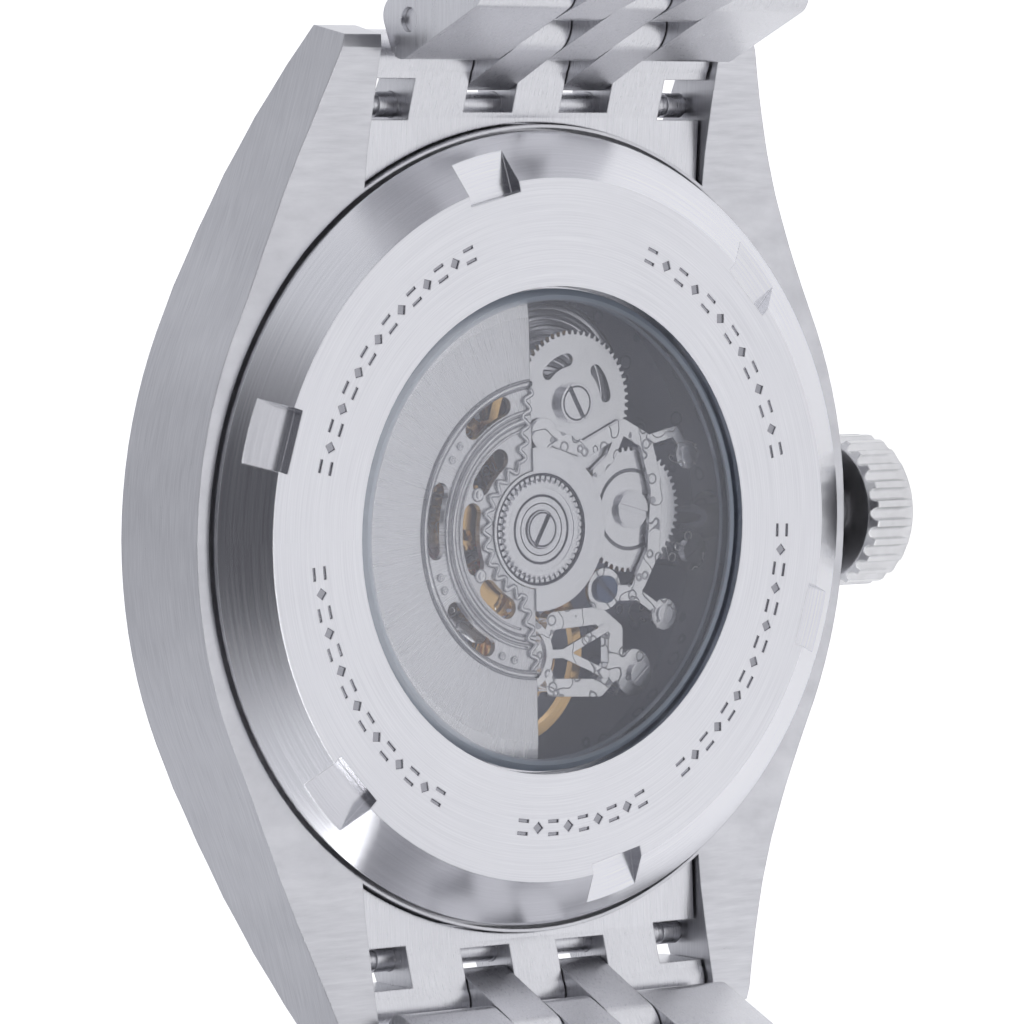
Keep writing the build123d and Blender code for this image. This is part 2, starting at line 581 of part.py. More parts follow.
def reverser_wheel(angle):
    """A reversing wheel: it runs on the rotor's pinion and its own pinion reaches through the bridge."""
    phase = meshed_phase(0, ROTOR_PINION_TEETH, REVERSER_TEETH, angle)
    face = spoked(gear_face(REVERSER_TEETH, ROTOR_MODULE, phase), 1.1, 0.62, 5, 0.22)
    wheel = slab(face, REVERSER_LEVEL) + disc(0.45, (AUTO_BRIDGE[0], REVERSER_LEVEL[0]))
    wheel += slab(gear_face(REVERSER_PINION_TEETH, REDUCTION_MODULE), (REDUCTION_LEVEL[0], AUTO_BRIDGE[0]))
    return Pos(*polar(REVERSER_DISTANCE, angle)) * wheel


def reduction_wheel():
    driver = polar(REVERSER_DISTANCE, REVERSER_ANGLES["reverser_wheel_a"])
    phase = meshed_phase(0, REVERSER_PINION_TEETH, REDUCTION_TEETH, bearing(driver, REDUCTION_AT))
    face = spoked(gear_face(REDUCTION_TEETH, REDUCTION_MODULE, phase), 3.1, 0.8, 5, 0.5)
    wheel = slab(face, REDUCTION_LEVEL) + disc(0.5, (REDUCTION_LEVEL[1], AUTO_BRIDGE[0] - 0.05))
    return Pos(*REDUCTION_AT) * (wheel + disc(ARBOR, (REDUCTION_LEVEL[0] - 0.1, AUTO_BRIDGE[1])))


# ---- going train --------------------------------------------------------------------------
def centre_wheel():
    """The hollow centre wheel, whose cannon passes through the plate and the dial."""
    third_line = bearing(CENTRE, THIRD_AT)
    module = module_for(apart(CENTRE, THIRD_AT), CENTRE_TEETH, THIRD_PINION_TEETH)
    drive = module_for(apart(CENTRE, BARREL_AT), BARREL_TEETH, CENTRE_PINION_TEETH)
    wheel = train_wheel(CENTRE, CENTRE_TEETH, module, CENTRE_WHEEL_LEVEL, third_line, 4)
    wheel += slab(gear_face(CENTRE_PINION_TEETH, drive), (BARREL[0] - 0.05, CENTRE_WHEEL_LEVEL[0]))
    wheel += disc(0.7, (MINUTE_HAND[0], BARREL[0]))
    return wheel - disc(0.3, (MINUTE_HAND[0] - 1, CENTRE_WHEEL_LEVEL[1] + 1))


def third_wheel():
    line = bearing(CENTRE, THIRD_AT)
    wheel_module = module_for(apart(CENTRE, THIRD_AT), THIRD_TEETH, FOURTH_PINION_TEETH)
    pinion_module = module_for(apart(CENTRE, THIRD_AT), CENTRE_TEETH, THIRD_PINION_TEETH)
    pinion_phase = meshed_phase(line, CENTRE_TEETH, THIRD_PINION_TEETH, line)
    levels = (CENTRE_WHEEL_LEVEL[0] - 0.1, THIRD_WHEEL_LEVEL[0])
    pinion = (THIRD_PINION_TEETH, pinion_module, levels, pinion_phase)
    wheel = train_wheel(THIRD_AT, THIRD_TEETH, wheel_module, THIRD_WHEEL_LEVEL, line + 180, 5, pinion)
    return wheel + disc(ARBOR, (PLATE[0] + 0.2, TRAIN_BRIDGE[1] - 0.1), THIRD_AT)


def fourth_wheel():
    """The centre-seconds wheel, whose thin arbor runs through the cannon to the seconds hand."""
    third_line = bearing(CENTRE, THIRD_AT)
    pinion_module = module_for(apart(CENTRE, THIRD_AT), THIRD_TEETH, FOURTH_PINION_TEETH)
    pinion_phase = meshed_phase(third_line + 180, THIRD_TEETH, FOURTH_PINION_TEETH, third_line + 180)
    module = module_for(apart(CENTRE, ESCAPE_AT), FOURTH_TEETH, ESCAPE_PINION_TEETH)
    line = bearing(CENTRE, ESCAPE_AT)
    levels = (THIRD_WHEEL_LEVEL[0] - 0.05, FOURTH_WHEEL_LEVEL[0])
    pinion = (FOURTH_PINION_TEETH, pinion_module, levels, pinion_phase)
    wheel = train_wheel(CENTRE, FOURTH_TEETH, module, FOURTH_WHEEL_LEVEL, line, 5, pinion)
    return wheel + disc(ARBOR, (SECONDS_HAND[0], TRAIN_BRIDGE[0] - 0.03))


def escape_wheel():
    """Fifteen raked teeth on a spoked rim, with its pinion up at the fourth wheel."""
    line = bearing(CENTRE, ESCAPE_AT)
    module = module_for(apart(CENTRE, ESCAPE_AT), FOURTH_TEETH, ESCAPE_PINION_TEETH)
    phase = meshed_phase(line, FOURTH_TEETH, ESCAPE_PINION_TEETH, line)
    corners = []
    step = 360 / ESCAPE_TEETH
    for tooth in range(ESCAPE_TEETH):
        start = tooth * step
        corners += [polar(1.45, start), polar(ESCAPE_RADIUS, start + 0.42 * step),
                    polar(ESCAPE_RADIUS, start + 0.6 * step),
                    polar(1.45, start + 0.55 * step)]
    face = spoked(make_face(Polyline(*corners, close=True)), 1.2, 0.55, 4, 0.25)
    wheel = slab(face, ESCAPE_LEVEL)
    pinion = gear_face(ESCAPE_PINION_TEETH, module, phase)
    wheel += slab(pinion, (FOURTH_WHEEL_LEVEL[0] - 0.05, FOURTH_WHEEL_LEVEL[1] + 0.05))
    return Pos(*ESCAPE_AT) * (wheel + disc(ARBOR, (PLATE[0] + 0.2, TRAIN_BRIDGE[1] - 0.1)))


def pallet_fork():
    """The pallet fork: two arms towards the escape wheel and a lever towards the balance's roller."""
    towards = bearing(PALLET_AT, BALANCE_AT)
    away = bearing(PALLET_AT, ESCAPE_AT)
    face = band([CENTRE, polar(2.35, towards)], 0.3)
    for side in (1, -1):
        face += band([CENTRE, polar(0.75, away + side * 75), polar(1.0, away + side * 48)], 0.26)
    fork = slab(face, (ESCAPE_LEVEL[0], ESCAPE_LEVEL[1] - 0.04))
    return Pos(*PALLET_AT) * (fork + disc(ARBOR, (PLATE[0] + 0.2, ESCAPE_LEVEL[1] + 0.3)))


def hairspring():
    """The flat spiral spring between the balance and its cock, as a row of short straight bands."""
    steps = 24 * HAIRSPRING_TURNS
    points = []
    for n in range(steps + 1):
        radius = HAIRSPRING_INNER + (HAIRSPRING_OUTER - HAIRSPRING_INNER) * n / steps
        points.append(polar(radius, n * 360 / 24))
    scales = [1 - HAIRSPRING_WIDTH / hypot(x, y) for x, y in points]
    inner = [(x * scale, y * scale) for (x, y), scale in zip(points, scales)]
    return slab(make_face(Polyline(*points, *reversed(inner), close=True)), HAIRSPRING)


def balance_wheel():
    """The smooth-rimmed balance with its staff, roller and hairspring."""
    face = Circle(BALANCE_RADIUS) - Circle(BALANCE_RADIUS - BALANCE_RIM)
    for angle in (30, 150, 270):
        face += band([CENTRE, polar(BALANCE_RADIUS - BALANCE_RIM / 2, angle)], 0.45)
    face += Circle(0.55)
    wheel = slab(face, BALANCE) + disc(ARBOR, (PLATE[0] + 0.2, COCK[0] + 0.2))
    wheel += disc(HAIRSPRING_INNER - 0.1, (BALANCE[1], HAIRSPRING[1]))
    wheel += disc(ROLLER_RADIUS, ESCAPE_LEVEL)
    return [Pos(*BALANCE_AT) * wheel, Pos(*BALANCE_AT) * hairspring()]


# ---- rotor --------------------------------------------------------------------------------
def half_disc(radius):
    """The half of a disc on the side away from the crown."""
    return Circle(radius) & (Pos(ROTOR_EDGE - radius, 0) * Rectangle(2 * radius, 2 * radius))


def rotor_weight():
    """The heavy half-ring with a bevelled border and a deeper lip, and the pierced web inside it."""
    band_solid = slab(half_disc(ROTOR_RADIUS), (ROTOR_LIP, ROTOR_WEIGHT[1]))
    band_solid &= turned(
        (WEIGHT_INNER, ROTOR_WEIGHT[1]), (ROTOR_BEVEL_RADIUS, ROTOR_WEIGHT[1]),
        (ROTOR_RADIUS, ROTOR_WEIGHT[1] - 0.25), (ROTOR_RADIUS, ROTOR_LIP), (ROTOR_LIP_RADIUS, ROTOR_LIP),
        (ROTOR_LIP_RADIUS, ROTOR_WEIGHT[0]), (WEIGHT_INNER, ROTOR_WEIGHT[0]),
    )
    web = half_disc(WEIGHT_INNER) - Circle(WEB_INNER)
    for radius, width, windows in WEB_WINDOWS:
        for start, sweep in windows:
            web -= arc_slot(radius, start, sweep, width)
    return [Rot(0, 0, ROTOR_TURN) * solid for solid in (band_solid, slab(web, ROTOR_WEB))]


def rotor_hub():
    """The rotor's cover disc, its toothed bearing ring and the pinion under it."""
    hub = slab(Rot(0, 0, ROTOR_TURN) * (Circle(DISC_RADIUS) - half_disc(DISC_RADIUS + 1)), ROTOR_DISC)
    hub += disc(WEB_INNER - FIT, ROTOR_DISC)
    hub += disc(WEB_INNER - FIT, (ROTOR_WEB[0], ROTOR_WEB[1]))
    hub += disc(2.0, (REVERSER_LEVEL[0], ROTOR_WEB[0]))
    hub += slab(gear_face(ROTOR_PINION_TEETH, ROTOR_MODULE), REVERSER_LEVEL)
    hub -= ring(BEARING_RADIUS + 0.22, BEARING_RADIUS - 0.12, (ROTOR_DISC[1] - 0.09, ROTOR_DISC[1] + 1))
    teeth = gear_face(BEARING_TEETH, 2 * BEARING_RADIUS / (BEARING_TEETH + 2 * ADDENDUM))
    hub += slab(teeth - Circle(BEARING_RADIUS - 0.4), (ROTOR_DISC[1] - 0.12, ROTOR_DISC[1] + 0.03))
    return hub - disc(RACE_RADIUS, (REVERSER_LEVEL[0] - 1, ROTOR_DISC[1] + 1))


# ---- screws and jewels --------------------------------------------------------------------
def slotted_head(at, radius, top, height, turn):
    head = disc(radius, (top - height, top), at)
    slot = Pos(at[0], at[1], top) * Rot(0, 0, turn) * Box(3 * radius, 0.24 * radius, 0.5 * height)
    return head - slot


def screws():
    """The slotted screws of the bridges, of the rotor's bearing and of the winding wheels."""
    post = ring(RACE_RADIUS - 0.05, 0.92, (AUTO_BRIDGE[1], ROTOR_DISC[1]))
    core = slotted_head(CENTRE, 0.88, ROTOR_SCREW, 0.42, 62)
    heads = [
        post, core,
        slotted_head((4.6, -3.05), 0.65, SCROLL_BRIDGE[1] + 0.2, 0.2, 130),
        slotted_head((9.7, 3.2), 0.45, SCROLL_BRIDGE[1] + 0.1, 0.1, 20),
        slotted_head((8.3, -4.4), 0.45, SCROLL_BRIDGE[1] + 0.1, 0.1, 75),
        slotted_head(CROWN_WHEEL_AT, 0.9, WINDING_LEVEL[1] + 0.27, 0.25, 165),
        slotted_head((6.9, -7.2), 0.6, COCK[1] + 0.2, 0.2, 40),
        slotted_head(polar(9.6, 176), 0.5, AUTO_BRIDGE[1] + 0.15, 0.15, 10),
        slotted_head(polar(9.4, 205), 0.5, AUTO_BRIDGE[1] + 0.15, 0.15, 95),
    ]
    for n, foot in enumerate(BRIDGE_FEET):
        heads.append(slotted_head(foot, 0.6, TRAIN_BRIDGE[1] + 0.2, 0.2, 30 * n))
    return heads


def wheel_screws():
    """The heads that hold the ratchet wheel on its arbor."""
    return slotted_head(BARREL_AT, 0.95, WINDING_LEVEL[1] + 0.36, 0.36, 120)


def jewels():
    """Ruby bearings: the balance's end stone, and rings let into the bridges."""
    stones = [slotted_stone(BALANCE_AT, COCK[1], 0.55)]
    stones.append(ring(0.62, ARBOR + FIT, (TRAIN_BRIDGE[1], TRAIN_BRIDGE[1] + 0.06), THIRD_AT))
    stones.append(ring(0.55, ARBOR + FIT, (TRAIN_BRIDGE[1], TRAIN_BRIDGE[1] + 0.06), ESCAPE_AT))
    stones.append(ring(0.55, ARBOR + FIT, (AUTO_BRIDGE[1], AUTO_BRIDGE[1] + 0.06), REDUCTION_AT))
    return stones


def slotted_stone(at, low, radius):
    """A low domed end stone."""
    stone = disc(radius, (low, low + 0.14), at)
    return chamfer(stone.edges().filter_by(GeomType.CIRCLE).sort_by(Axis.Z)[-1:], 0.08)


# ---- dial and hands -----------------------------------------------------------------------
def dial():
    """The open dial: a chapter ring with twelve applied batons."""
    face = ring(DIAL_RADIUS, DIAL_INNER, DIAL)
    face -= ring(14.1, 13.98, (DIAL[0] - 1, DIAL[0] + 0.06))
    batons = []
    for hour in range(12):
        width = 1.0 if hour % 3 == 0 else 0.6
        place = Rot(0, 0, 30 * hour) * Pos(12.75, 0, DIAL[0] - 0.12)
        batons.append(place * Box(2.0, width, 0.24))
    return [face] + batons


def hand(reach, width, level, eye, bore, tail):
    """A hand that points to 12 o'clock, tapering to its tip from a round eye."""
    blade = make_face(Polyline((-width / 2, tail), (width / 2, tail), (width * 0.65, -reach * 0.75), (0, -reach),
                               (-width * 0.65, -reach * 0.75), close=True))
    blade -= make_face(Polyline((-width * 0.2, -reach * 0.25), (width * 0.2, -reach * 0.25),
                                (width * 0.3, -reach * 0.7), (-width * 0.3, -reach * 0.7), close=True))
    return slab(blade + Circle(eye), level) - disc(bore, (level[0] - 1, level[1] + 1))


def hour_hand():
    pipe = ring(1.15, 0.75, (HOUR_HAND[0], PLATE[0] + 0.1))
    return hand(HOUR_REACH, 1.1, HOUR_HAND, 1.3, 0.75, 0.9) + pipe


def minute_hand():
    return hand(MINUTE_REACH, 0.95, MINUTE_HAND, 1.1, 0.72, 1.2)


def seconds_hand():
    blade = band([(0, 3.2), (0, -SECONDS_REACH)], 0.22) + Pos(0, 3.2) * Circle(0.5) + Circle(0.6)
    return slab(blade, SECONDS_HAND) - disc(ARBOR + FIT / 2, (SECONDS_HAND[0] - 1, SECONDS_HAND[1] + 1))


# ---- bracelet -----------------------------------------------------------------------------
def pins(side):
    """The (y, z) of every hinge pin from the end link to the clasp, with each link's direction."""
    at = (FIRST_PIN[0], FIRST_PIN[1])
    places, headings, heading = [at], [], 0
    for bend in SIX_BENDS if side > 0 else TWELVE_BENDS:
        heading += bend
        headings.append(heading)
        at = (at[0] + LINK_PITCH * cos(radians(heading)), at[1] + LINK_PITCH * sin(radians(heading)))
        places.append(at)
    return [(side * y, z) for y, z in places], headings


def row_spans(half_width, narrow):
    """Where a link's rows start and end along x."""
    edge = MIDDLE_ROW + ROW_GAP
    if narrow:
        return [(edge, edge + NARROW_ROW), (-edge - NARROW_ROW, -edge)]
    outer = edge + NARROW_ROW + ROW_GAP
    return [(-MIDDLE_ROW, MIDDLE_ROW), (outer, half_width), (-half_width, -outer)]


def link(index, side):
    """One bracelet link: two narrow rows, or three wide rows with the two pins that they hold."""
    places, headings = pins(side)
    start = places[index]
    narrow = index % 2 == 0
    half_width = (LUG_WIDTH - (LUG_WIDTH - CLASP_WIDTH) * (index + 1) / (LINKS + 1)) / 2
    length = 2 * LINK_PITCH - (NARROW_GAP if narrow else LINK_GAP)
    rounding = NARROW_ROUND if narrow else LINK_ROUND
    profile = RectangleRounded(length, LINK_THICKNESS, rounding)
    centre = Pos(LINK_PITCH / 2, 0)
    holes = Circle(PIN_RADIUS + FIT) + Pos(LINK_PITCH, 0) * Circle(PIN_RADIUS + FIT)
    turn = headings[index] if side > 0 else 180 - headings[index]
    section = Pos(*start) * Rot(0, 0, turn) * (centre * profile - holes)
    solids = [across(section, *span) for span in row_spans(half_width, narrow)]
    if not narrow:
        reach = half_width - 0.25
        solids += [bar(PIN_RADIUS, -reach, reach, places[index + n]) for n in (0, 1)]
    elif index == LINKS - 1 and side > 0:
        solids.append(bar(PIN_RADIUS, -MIDDLE_ROW - NARROW_ROW, MIDDLE_ROW + NARROW_ROW, places[LINKS]))
    return solids


def end_link(side):
    """The piece between the lugs: a wall along the case, and three legs that carry the first pin."""
    y, z = FIRST_PIN
    half = LUG_GAP / 2 - END_LINK_GAP
    knuckle = 1.25
    wall = make_face(Polyline((15.6, -0.6), (19.2, -0.42), (y, z + knuckle), (y, z - knuckle), (20.3, -3.0),
                              (15.6, -3.9), close=True))
    section = wall + Pos(y, z) * Circle(knuckle)
    body = across(section, -half, half)
    body -= disc(HAUNCH_RADIUS + 0.1, (-6, 3))
    edge = MIDDLE_ROW + ROW_GAP
    for span in row_spans(half, True):
        middle = sum(span) / 2
        width = NARROW_ROW + 2 * ROW_GAP
        slot = Pos(middle, 19.45 + 5, -1) * Box(width, 10, 8)
        body -= slot
    inner, low, high = END_WINDOW
    for x_side in (1, -1):
        window_width = half - inner + 1
        middle = x_side * (inner + window_width / 2)
        body -= Pos(middle, (low + high) / 2, -2) * Box(window_width, high - low, 8)
    body -= bar(SPRING_BAR_RADIUS + FIT, -half - 1, half + 1, SPRING_BAR_AT)
    body -= bar(PIN_RADIUS + FIT, -half + 0.4, half - 0.4, FIRST_PIN)
    return body if side > 0 else mirror(body, Plane.XZ)


def end_links():
    return [end_link(side) for side in (1, -1)]


def spring_bars():
    """The spring bars that hold the end links in the lugs, and the end links' own hinge pins."""
    bars = []
    half = LUG_GAP / 2 - 0.25
    tips = LUG_GAP / 2 + SPRING_TIP_REACH - 0.1
    for side in (1, -1):
        at = (side * SPRING_BAR_AT[0], SPRING_BAR_AT[1])
        piece = bar(SPRING_BAR_RADIUS, -half, half, at) + bar(SPRING_TIP_RADIUS, -tips, tips, at)
        piece -= [bar(SPRING_BAR_RADIUS + 1, x, x + 0.3, at) - bar(SPRING_TIP_RADIUS + 0.1, x, x + 0.3, at)
                  for x in (8.5, -8.8)]
        bars.append(piece)
        pin_reach = LUG_GAP / 2 - 0.6
        bars.append(bar(PIN_RADIUS, -pin_reach, pin_reach, (side * FIRST_PIN[0], FIRST_PIN[1])))
    return bars


# ---- clasp --------------------------------------------------------------------------------
def clasp_ends():
    """The last pins of the 12 and 6 o'clock sides, between which the clasp lies."""
    return pins(-1)[0][LINKS], pins(1)[0][LINKS]


def clasp_angle():
    """Degrees from the clasp's middle to the pins at its ends."""
    return degrees(asin(apart(*clasp_ends()) / 2 / CLASP_RADIUS))


def clasp_point(radius, angle):
    """A (y, z) at a radius from the plates' centre, at an angle towards 6 o'clock."""
    start, end = clasp_ends()
    lean = radians(bearing(start, end))
    middle = ((start[0] + end[0]) / 2, (start[1] + end[1]) / 2)
    sunk = radius * cos(radians(angle)) - CLASP_RADIUS * cos(radians(clasp_angle()))
    along = radius * sin(radians(angle))
    y = middle[0] + along * cos(lean) - sunk * sin(lean)
    return (y, middle[1] + along * sin(lean) + sunk * cos(lean))


def curved_plate(radii, start, end):
    """A strip of plate in (y, z) that follows the clasp's curve."""
    middle = (start + end) / 2
    turns = (start, middle, end)
    edges = ThreePointArc(*[clasp_point(radii[1], turn) for turn in turns])
    edges += Line(clasp_point(radii[1], end), clasp_point(radii[0], end))
    edges += ThreePointArc(*[clasp_point(radii[0], turn) for turn in reversed(turns)])
    edges += Line(clasp_point(radii[0], start), clasp_point(radii[1], start))
    return make_face(edges)


def fold_hinge(blade):
    """The (y, z) of the pin that a blade folds on, and the side of the clasp that it is on."""
    if blade == "middle":
        return clasp_point(sum(MIDDLE_BLADE) / 2, clasp_angle() - BLADE_END)
    return clasp_point((LOWER_BLADE[0] + MIDDLE_BLADE[1]) / 2, BLADE_END - clasp_angle())


def clasp_cover():
    """The outer shell, hinged to the 12 o'clock side, with side walls and the middle blade's pin."""
    half = CLASP_WIDTH / 2
    angles = (COVER_END - clasp_angle(), clasp_angle() - COVER_FREE_END)
    cover = across(curved_plate(COVER_PLATE, *angles), -half, half)
    wall = curved_plate((MIDDLE_BLADE[0], COVER_PLATE[0]), *angles)
    for side in (1, -1):
        cover += across(wall, *sorted((side * half, side * (half - COVER_WALL))))
    end_pin = clasp_point(CLASP_RADIUS, -clasp_angle())
    root = clasp_point(sum(COVER_PLATE) / 2, angles[0] + 0.4)
    knuckle = band([root, end_pin], 1.9)
    for span in row_spans(half, False):
        cover += across(knuckle, *span)
    cover -= bar(PIN_RADIUS + FIT, -half + 0.3, half - 0.3, end_pin)
    hinge = fold_hinge("middle")
    cover -= bar(CLASP_PIN + FIT, -half + 0.3, half - 0.3, hinge)
    reach = half - 0.35
    return [cover, bar(PIN_RADIUS, -reach, reach, end_pin), bar(CLASP_PIN, -reach, reach, hinge)]


def middle_blade():
    hinge, fold = fold_hinge("middle"), fold_hinge("lower")
    end = clasp_angle() - BLADE_END
    plate = curved_plate(MIDDLE_BLADE, 1.2 - end, end)
    blade = across(plate, -BLADE_HALF_WIDTH, BLADE_HALF_WIDTH)
    blade += bar(KNUCKLE_RADIUS, -KNUCKLE_HALF, KNUCKLE_HALF, hinge)
    ear = band([clasp_point(sum(MIDDLE_BLADE) / 2, 2 - end), fold], 0.7)
    for side in (1, -1):
        span = sorted((side * (KNUCKLE_HALF + ROW_GAP), side * BLADE_HALF_WIDTH))
        blade += across(ear, *span) + bar(KNUCKLE_RADIUS, *span, fold)
    blade -= bar(CLASP_PIN + FIT, -half_clasp(), half_clasp(), hinge)
    blade -= bar(CLASP_PIN + FIT, -half_clasp(), half_clasp(), fold)
    blade -= across(curved_plate((47, 51), -9, 9), -2.2, 2.2)
    return [blade, bar(CLASP_PIN, -BLADE_HALF_WIDTH, BLADE_HALF_WIDTH, fold)]


def lower_blade():
    fold = fold_hinge("lower")
    end = clasp_angle() - BLADE_END
    plate = curved_plate(LOWER_BLADE, 1.4 - end, end - 1.6)
    blade = across(plate, -BLADE_HALF_WIDTH, BLADE_HALF_WIDTH)
    ear = band([clasp_point(sum(LOWER_BLADE) / 2, 1.8 - end), fold], 0.7)
    blade += across(ear, -KNUCKLE_HALF, KNUCKLE_HALF) + bar(KNUCKLE_RADIUS, -KNUCKLE_HALF, KNUCKLE_HALF, fold)
    blade -= across(curved_plate((47, 51), -14, 14), -1.6, 1.6)
    return blade - bar(CLASP_PIN + FIT, -KNUCKLE_HALF - 1, KNUCKLE_HALF + 1, fold)


def half_clasp():
    return CLASP_WIDTH / 2


# ---- the whole watch ------------------------------------------------------------------------
def pieces():
    """Every node of the watch, by name."""
    nodes = {
        "case_body": case_body(), "bezel": bezel(), "front_crystal": front_crystal(),
        "caseback": caseback(), "caseback_crystal": caseback_crystal(),
        "crown": crown(), "winding_stem": winding_stem(), "winding_pinion": winding_pinion(),
        "mainplate": [mainplate(), movement_holder()],
        "bridges": [train_bridge(), automatic_bridge(), scroll_bridge(), balance_cock()],
        "ratchet_wheel": [ratchet_wheel(), ratchet_arbor(), wheel_screws()], "crown_wheel": crown_wheel(),
        "barrel": barrel(), "reduction_wheel": reduction_wheel(),
        "centre_wheel": centre_wheel(), "third_wheel": third_wheel(), "fourth_wheel": fourth_wheel(),
        "escape_wheel": escape_wheel(), "pallet_fork": pallet_fork(), "balance_wheel": balance_wheel(),
        "rotor_weight": rotor_weight(), "rotor_hub": rotor_hub(), "screws": screws(), "jewels": jewels(),
        "dial": dial(), "hour_hand": hour_hand(),
        "minute_hand": minute_hand(), "seconds_hand": seconds_hand(),
        "end_links": end_links() + spring_bars(),
        "clasp_cover": clasp_cover(), "clasp_middle_blade": middle_blade(),
        "clasp_lower_blade": lower_blade(),
    }
    for name, angle in REVERSER_ANGLES.items():
        nodes[name] = reverser_wheel(angle)
    for index in range(LINKS):
        nodes[f"six_link_{index + 1:02d}"] = link(index, 1)
        nodes[f"twelve_link_{index + 1:02d}"] = link(index, -1)
    return nodes


def to_row(shape):
    """Turns a piece so that 9 o'clock is up, 12 o'clock is +X and the back faces +Y."""
    row = Plane(origin=(0, -BACK_GLASS_OUT, 0), x_dir=(0, 0, -1), z_dir=(0, 1, 0))
    return shape.moved(row.location)


def main():
    os.makedirs("parts", exist_ok=True)
    for name, made in pieces().items():
        solids = made if isinstance(made, list) else [made]
        whole = Compound(children=[to_row(solid) for group in solids for solid in group.solids()])
        export_step(whole, f"parts/{name}.step")
    for side in (1, -1):
        print("pins", [tuple(round(v, 3) for v in place) for place in pins(side)[0]])
    print("clasp", clasp_angle(), fold_hinge("middle"), fold_hinge("lower"))


if __name__ == "__main__":
    main()
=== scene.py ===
# %% [markdown]
# # A skeleton automatic on its bracelet, seen through the case back
# The watch arrives as a fixed frame: every wheel, link and screw is already in its place, in metres.
# This script dresses it: brushed and polished steel, gilt wheels, engraved bridges, glass and light.

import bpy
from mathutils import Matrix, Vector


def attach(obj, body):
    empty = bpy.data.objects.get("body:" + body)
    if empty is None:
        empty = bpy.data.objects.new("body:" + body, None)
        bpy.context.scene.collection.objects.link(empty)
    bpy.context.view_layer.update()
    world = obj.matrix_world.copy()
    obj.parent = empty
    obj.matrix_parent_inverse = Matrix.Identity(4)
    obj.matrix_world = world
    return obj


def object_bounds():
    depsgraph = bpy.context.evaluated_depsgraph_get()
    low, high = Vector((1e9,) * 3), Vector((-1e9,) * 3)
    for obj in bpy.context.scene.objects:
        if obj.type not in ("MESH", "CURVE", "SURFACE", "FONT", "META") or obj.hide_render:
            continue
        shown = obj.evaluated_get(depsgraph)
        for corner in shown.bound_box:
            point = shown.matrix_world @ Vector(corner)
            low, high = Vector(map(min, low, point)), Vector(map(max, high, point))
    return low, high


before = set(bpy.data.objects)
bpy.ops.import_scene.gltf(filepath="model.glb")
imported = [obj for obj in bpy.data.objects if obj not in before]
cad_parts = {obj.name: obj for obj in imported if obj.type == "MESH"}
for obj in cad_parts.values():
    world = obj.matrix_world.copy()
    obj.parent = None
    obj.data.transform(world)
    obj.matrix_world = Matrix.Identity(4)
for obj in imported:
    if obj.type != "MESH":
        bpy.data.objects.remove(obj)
BOX_AT_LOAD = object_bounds()

# %% Modules and measures
from math import cos, hypot, pi, radians, sin

import bmesh
import bpy
from mathutils import Matrix, Vector

MM = 0.001
GLASS_TOP = 1.2               # the case back crystal's outer face above the foot of the bevel, in mm
AXIS = (0, 0)                 # places on the movement, in mm from the watch's axis
BARREL_AT = (2.85, 5.8)
CROWN_WHEEL_AT = (6.4, 0.65)
BLUE_SCREW_AT = (4.6, -3.05)
SCREW_HEAD = 0.72             # the radius of a slotted head
bpy.context.scene.view_settings.view_transform = "Standard"
print("lowest and highest corner in mm:", [[round(v / MM, 1) for v in corner] for corner in BOX_AT_LOAD])

# %% [markdown]
# A watchmaker looks at the back of a watch with 6 o'clock up and the crown on the right. The
# row frame lays the same watch on its side. One helper turns watchmaker's millimetres into the frame,
# so every later measure can be read off a drawing of the movement.

# %% From the watchmaker's view to the frame
def turned(x, y, z):
    """A direction: x towards the crown, y towards 6 o'clock, z out of the case back."""
    return Vector((-y, z, -x))


def at(x, y, z):
    return turned(x, y, z - GLASS_TOP) * MM


print("the crown's end is at", [round(v, 4) for v in at(23.2, 0, -3)])

# %% [markdown]
# Shader nodes are easier to read as sums than as wires. `Value` wraps an output socket, so that
# `a * 2 + b` builds the Math nodes. Colours and vectors go through Mix and Vector Math nodes.

# %% A small algebra for shader sockets
class Value:
    """One output socket of a material, with the usual operators."""

    def __init__(self, tree, socket):
        self.tree, self.socket = tree, socket

    def node(self, kind, inputs=(), output=0, **settings):
        """Any node, fed by position or name; returns one of its outputs."""
        made = self.tree.nodes.new(kind)
        for key, value in settings.items():
            setattr(made, key, value)
        for key, value in dict(inputs).items():
            feed(self.tree, made.inputs[key], value)
        return Value(self.tree, made.outputs[output])

    def math(self, operation, *others):
        return self.node("ShaderNodeMath", enumerate((self, *others)), operation=operation)

    def __add__(self, other):
        return self.math("ADD", other)

    __radd__ = __add__

    def __mul__(self, other):
        return self.math("MULTIPLY", other)

    __rmul__ = __mul__

    def __sub__(self, other):
        return self.math("SUBTRACT", other)

    def __rsub__(self, other):
        return (self * -1) + other

    def __truediv__(self, other):
        return self.math("DIVIDE", other)

    def clamp(self, low, high):
        """0 at low and 1 at high, straight between them."""
        inputs = {0: self, 1: low, 2: high}
        return self.node("ShaderNodeMapRange", inputs, clamp=True)

    def mix(self, first, second):
        """first where this is 0 and second where it is 1; both are colours."""
        return self.node("ShaderNodeMix", {0: self, 6: first, 7: second}, output=2, data_type="RGBA")

    def split(self, name):
        return self.node("ShaderNodeSeparateXYZ", {0: self}, output=name)

    def vector(self, x, y, z):
        return self.node("ShaderNodeCombineXYZ", {0: x, 1: y, 2: z})

    def noise(self, scale, detail=3.0, roughness=0.55):
        inputs = {"Vector": self, "Scale": scale, "Detail": detail, "Roughness": roughness}
        return self.node("ShaderNodeTexNoise", inputs)

    def cells(self, scale, feature="F1"):
        return self.node("ShaderNodeTexVoronoi", {"Vector": self, "Scale": scale}, feature=feature)


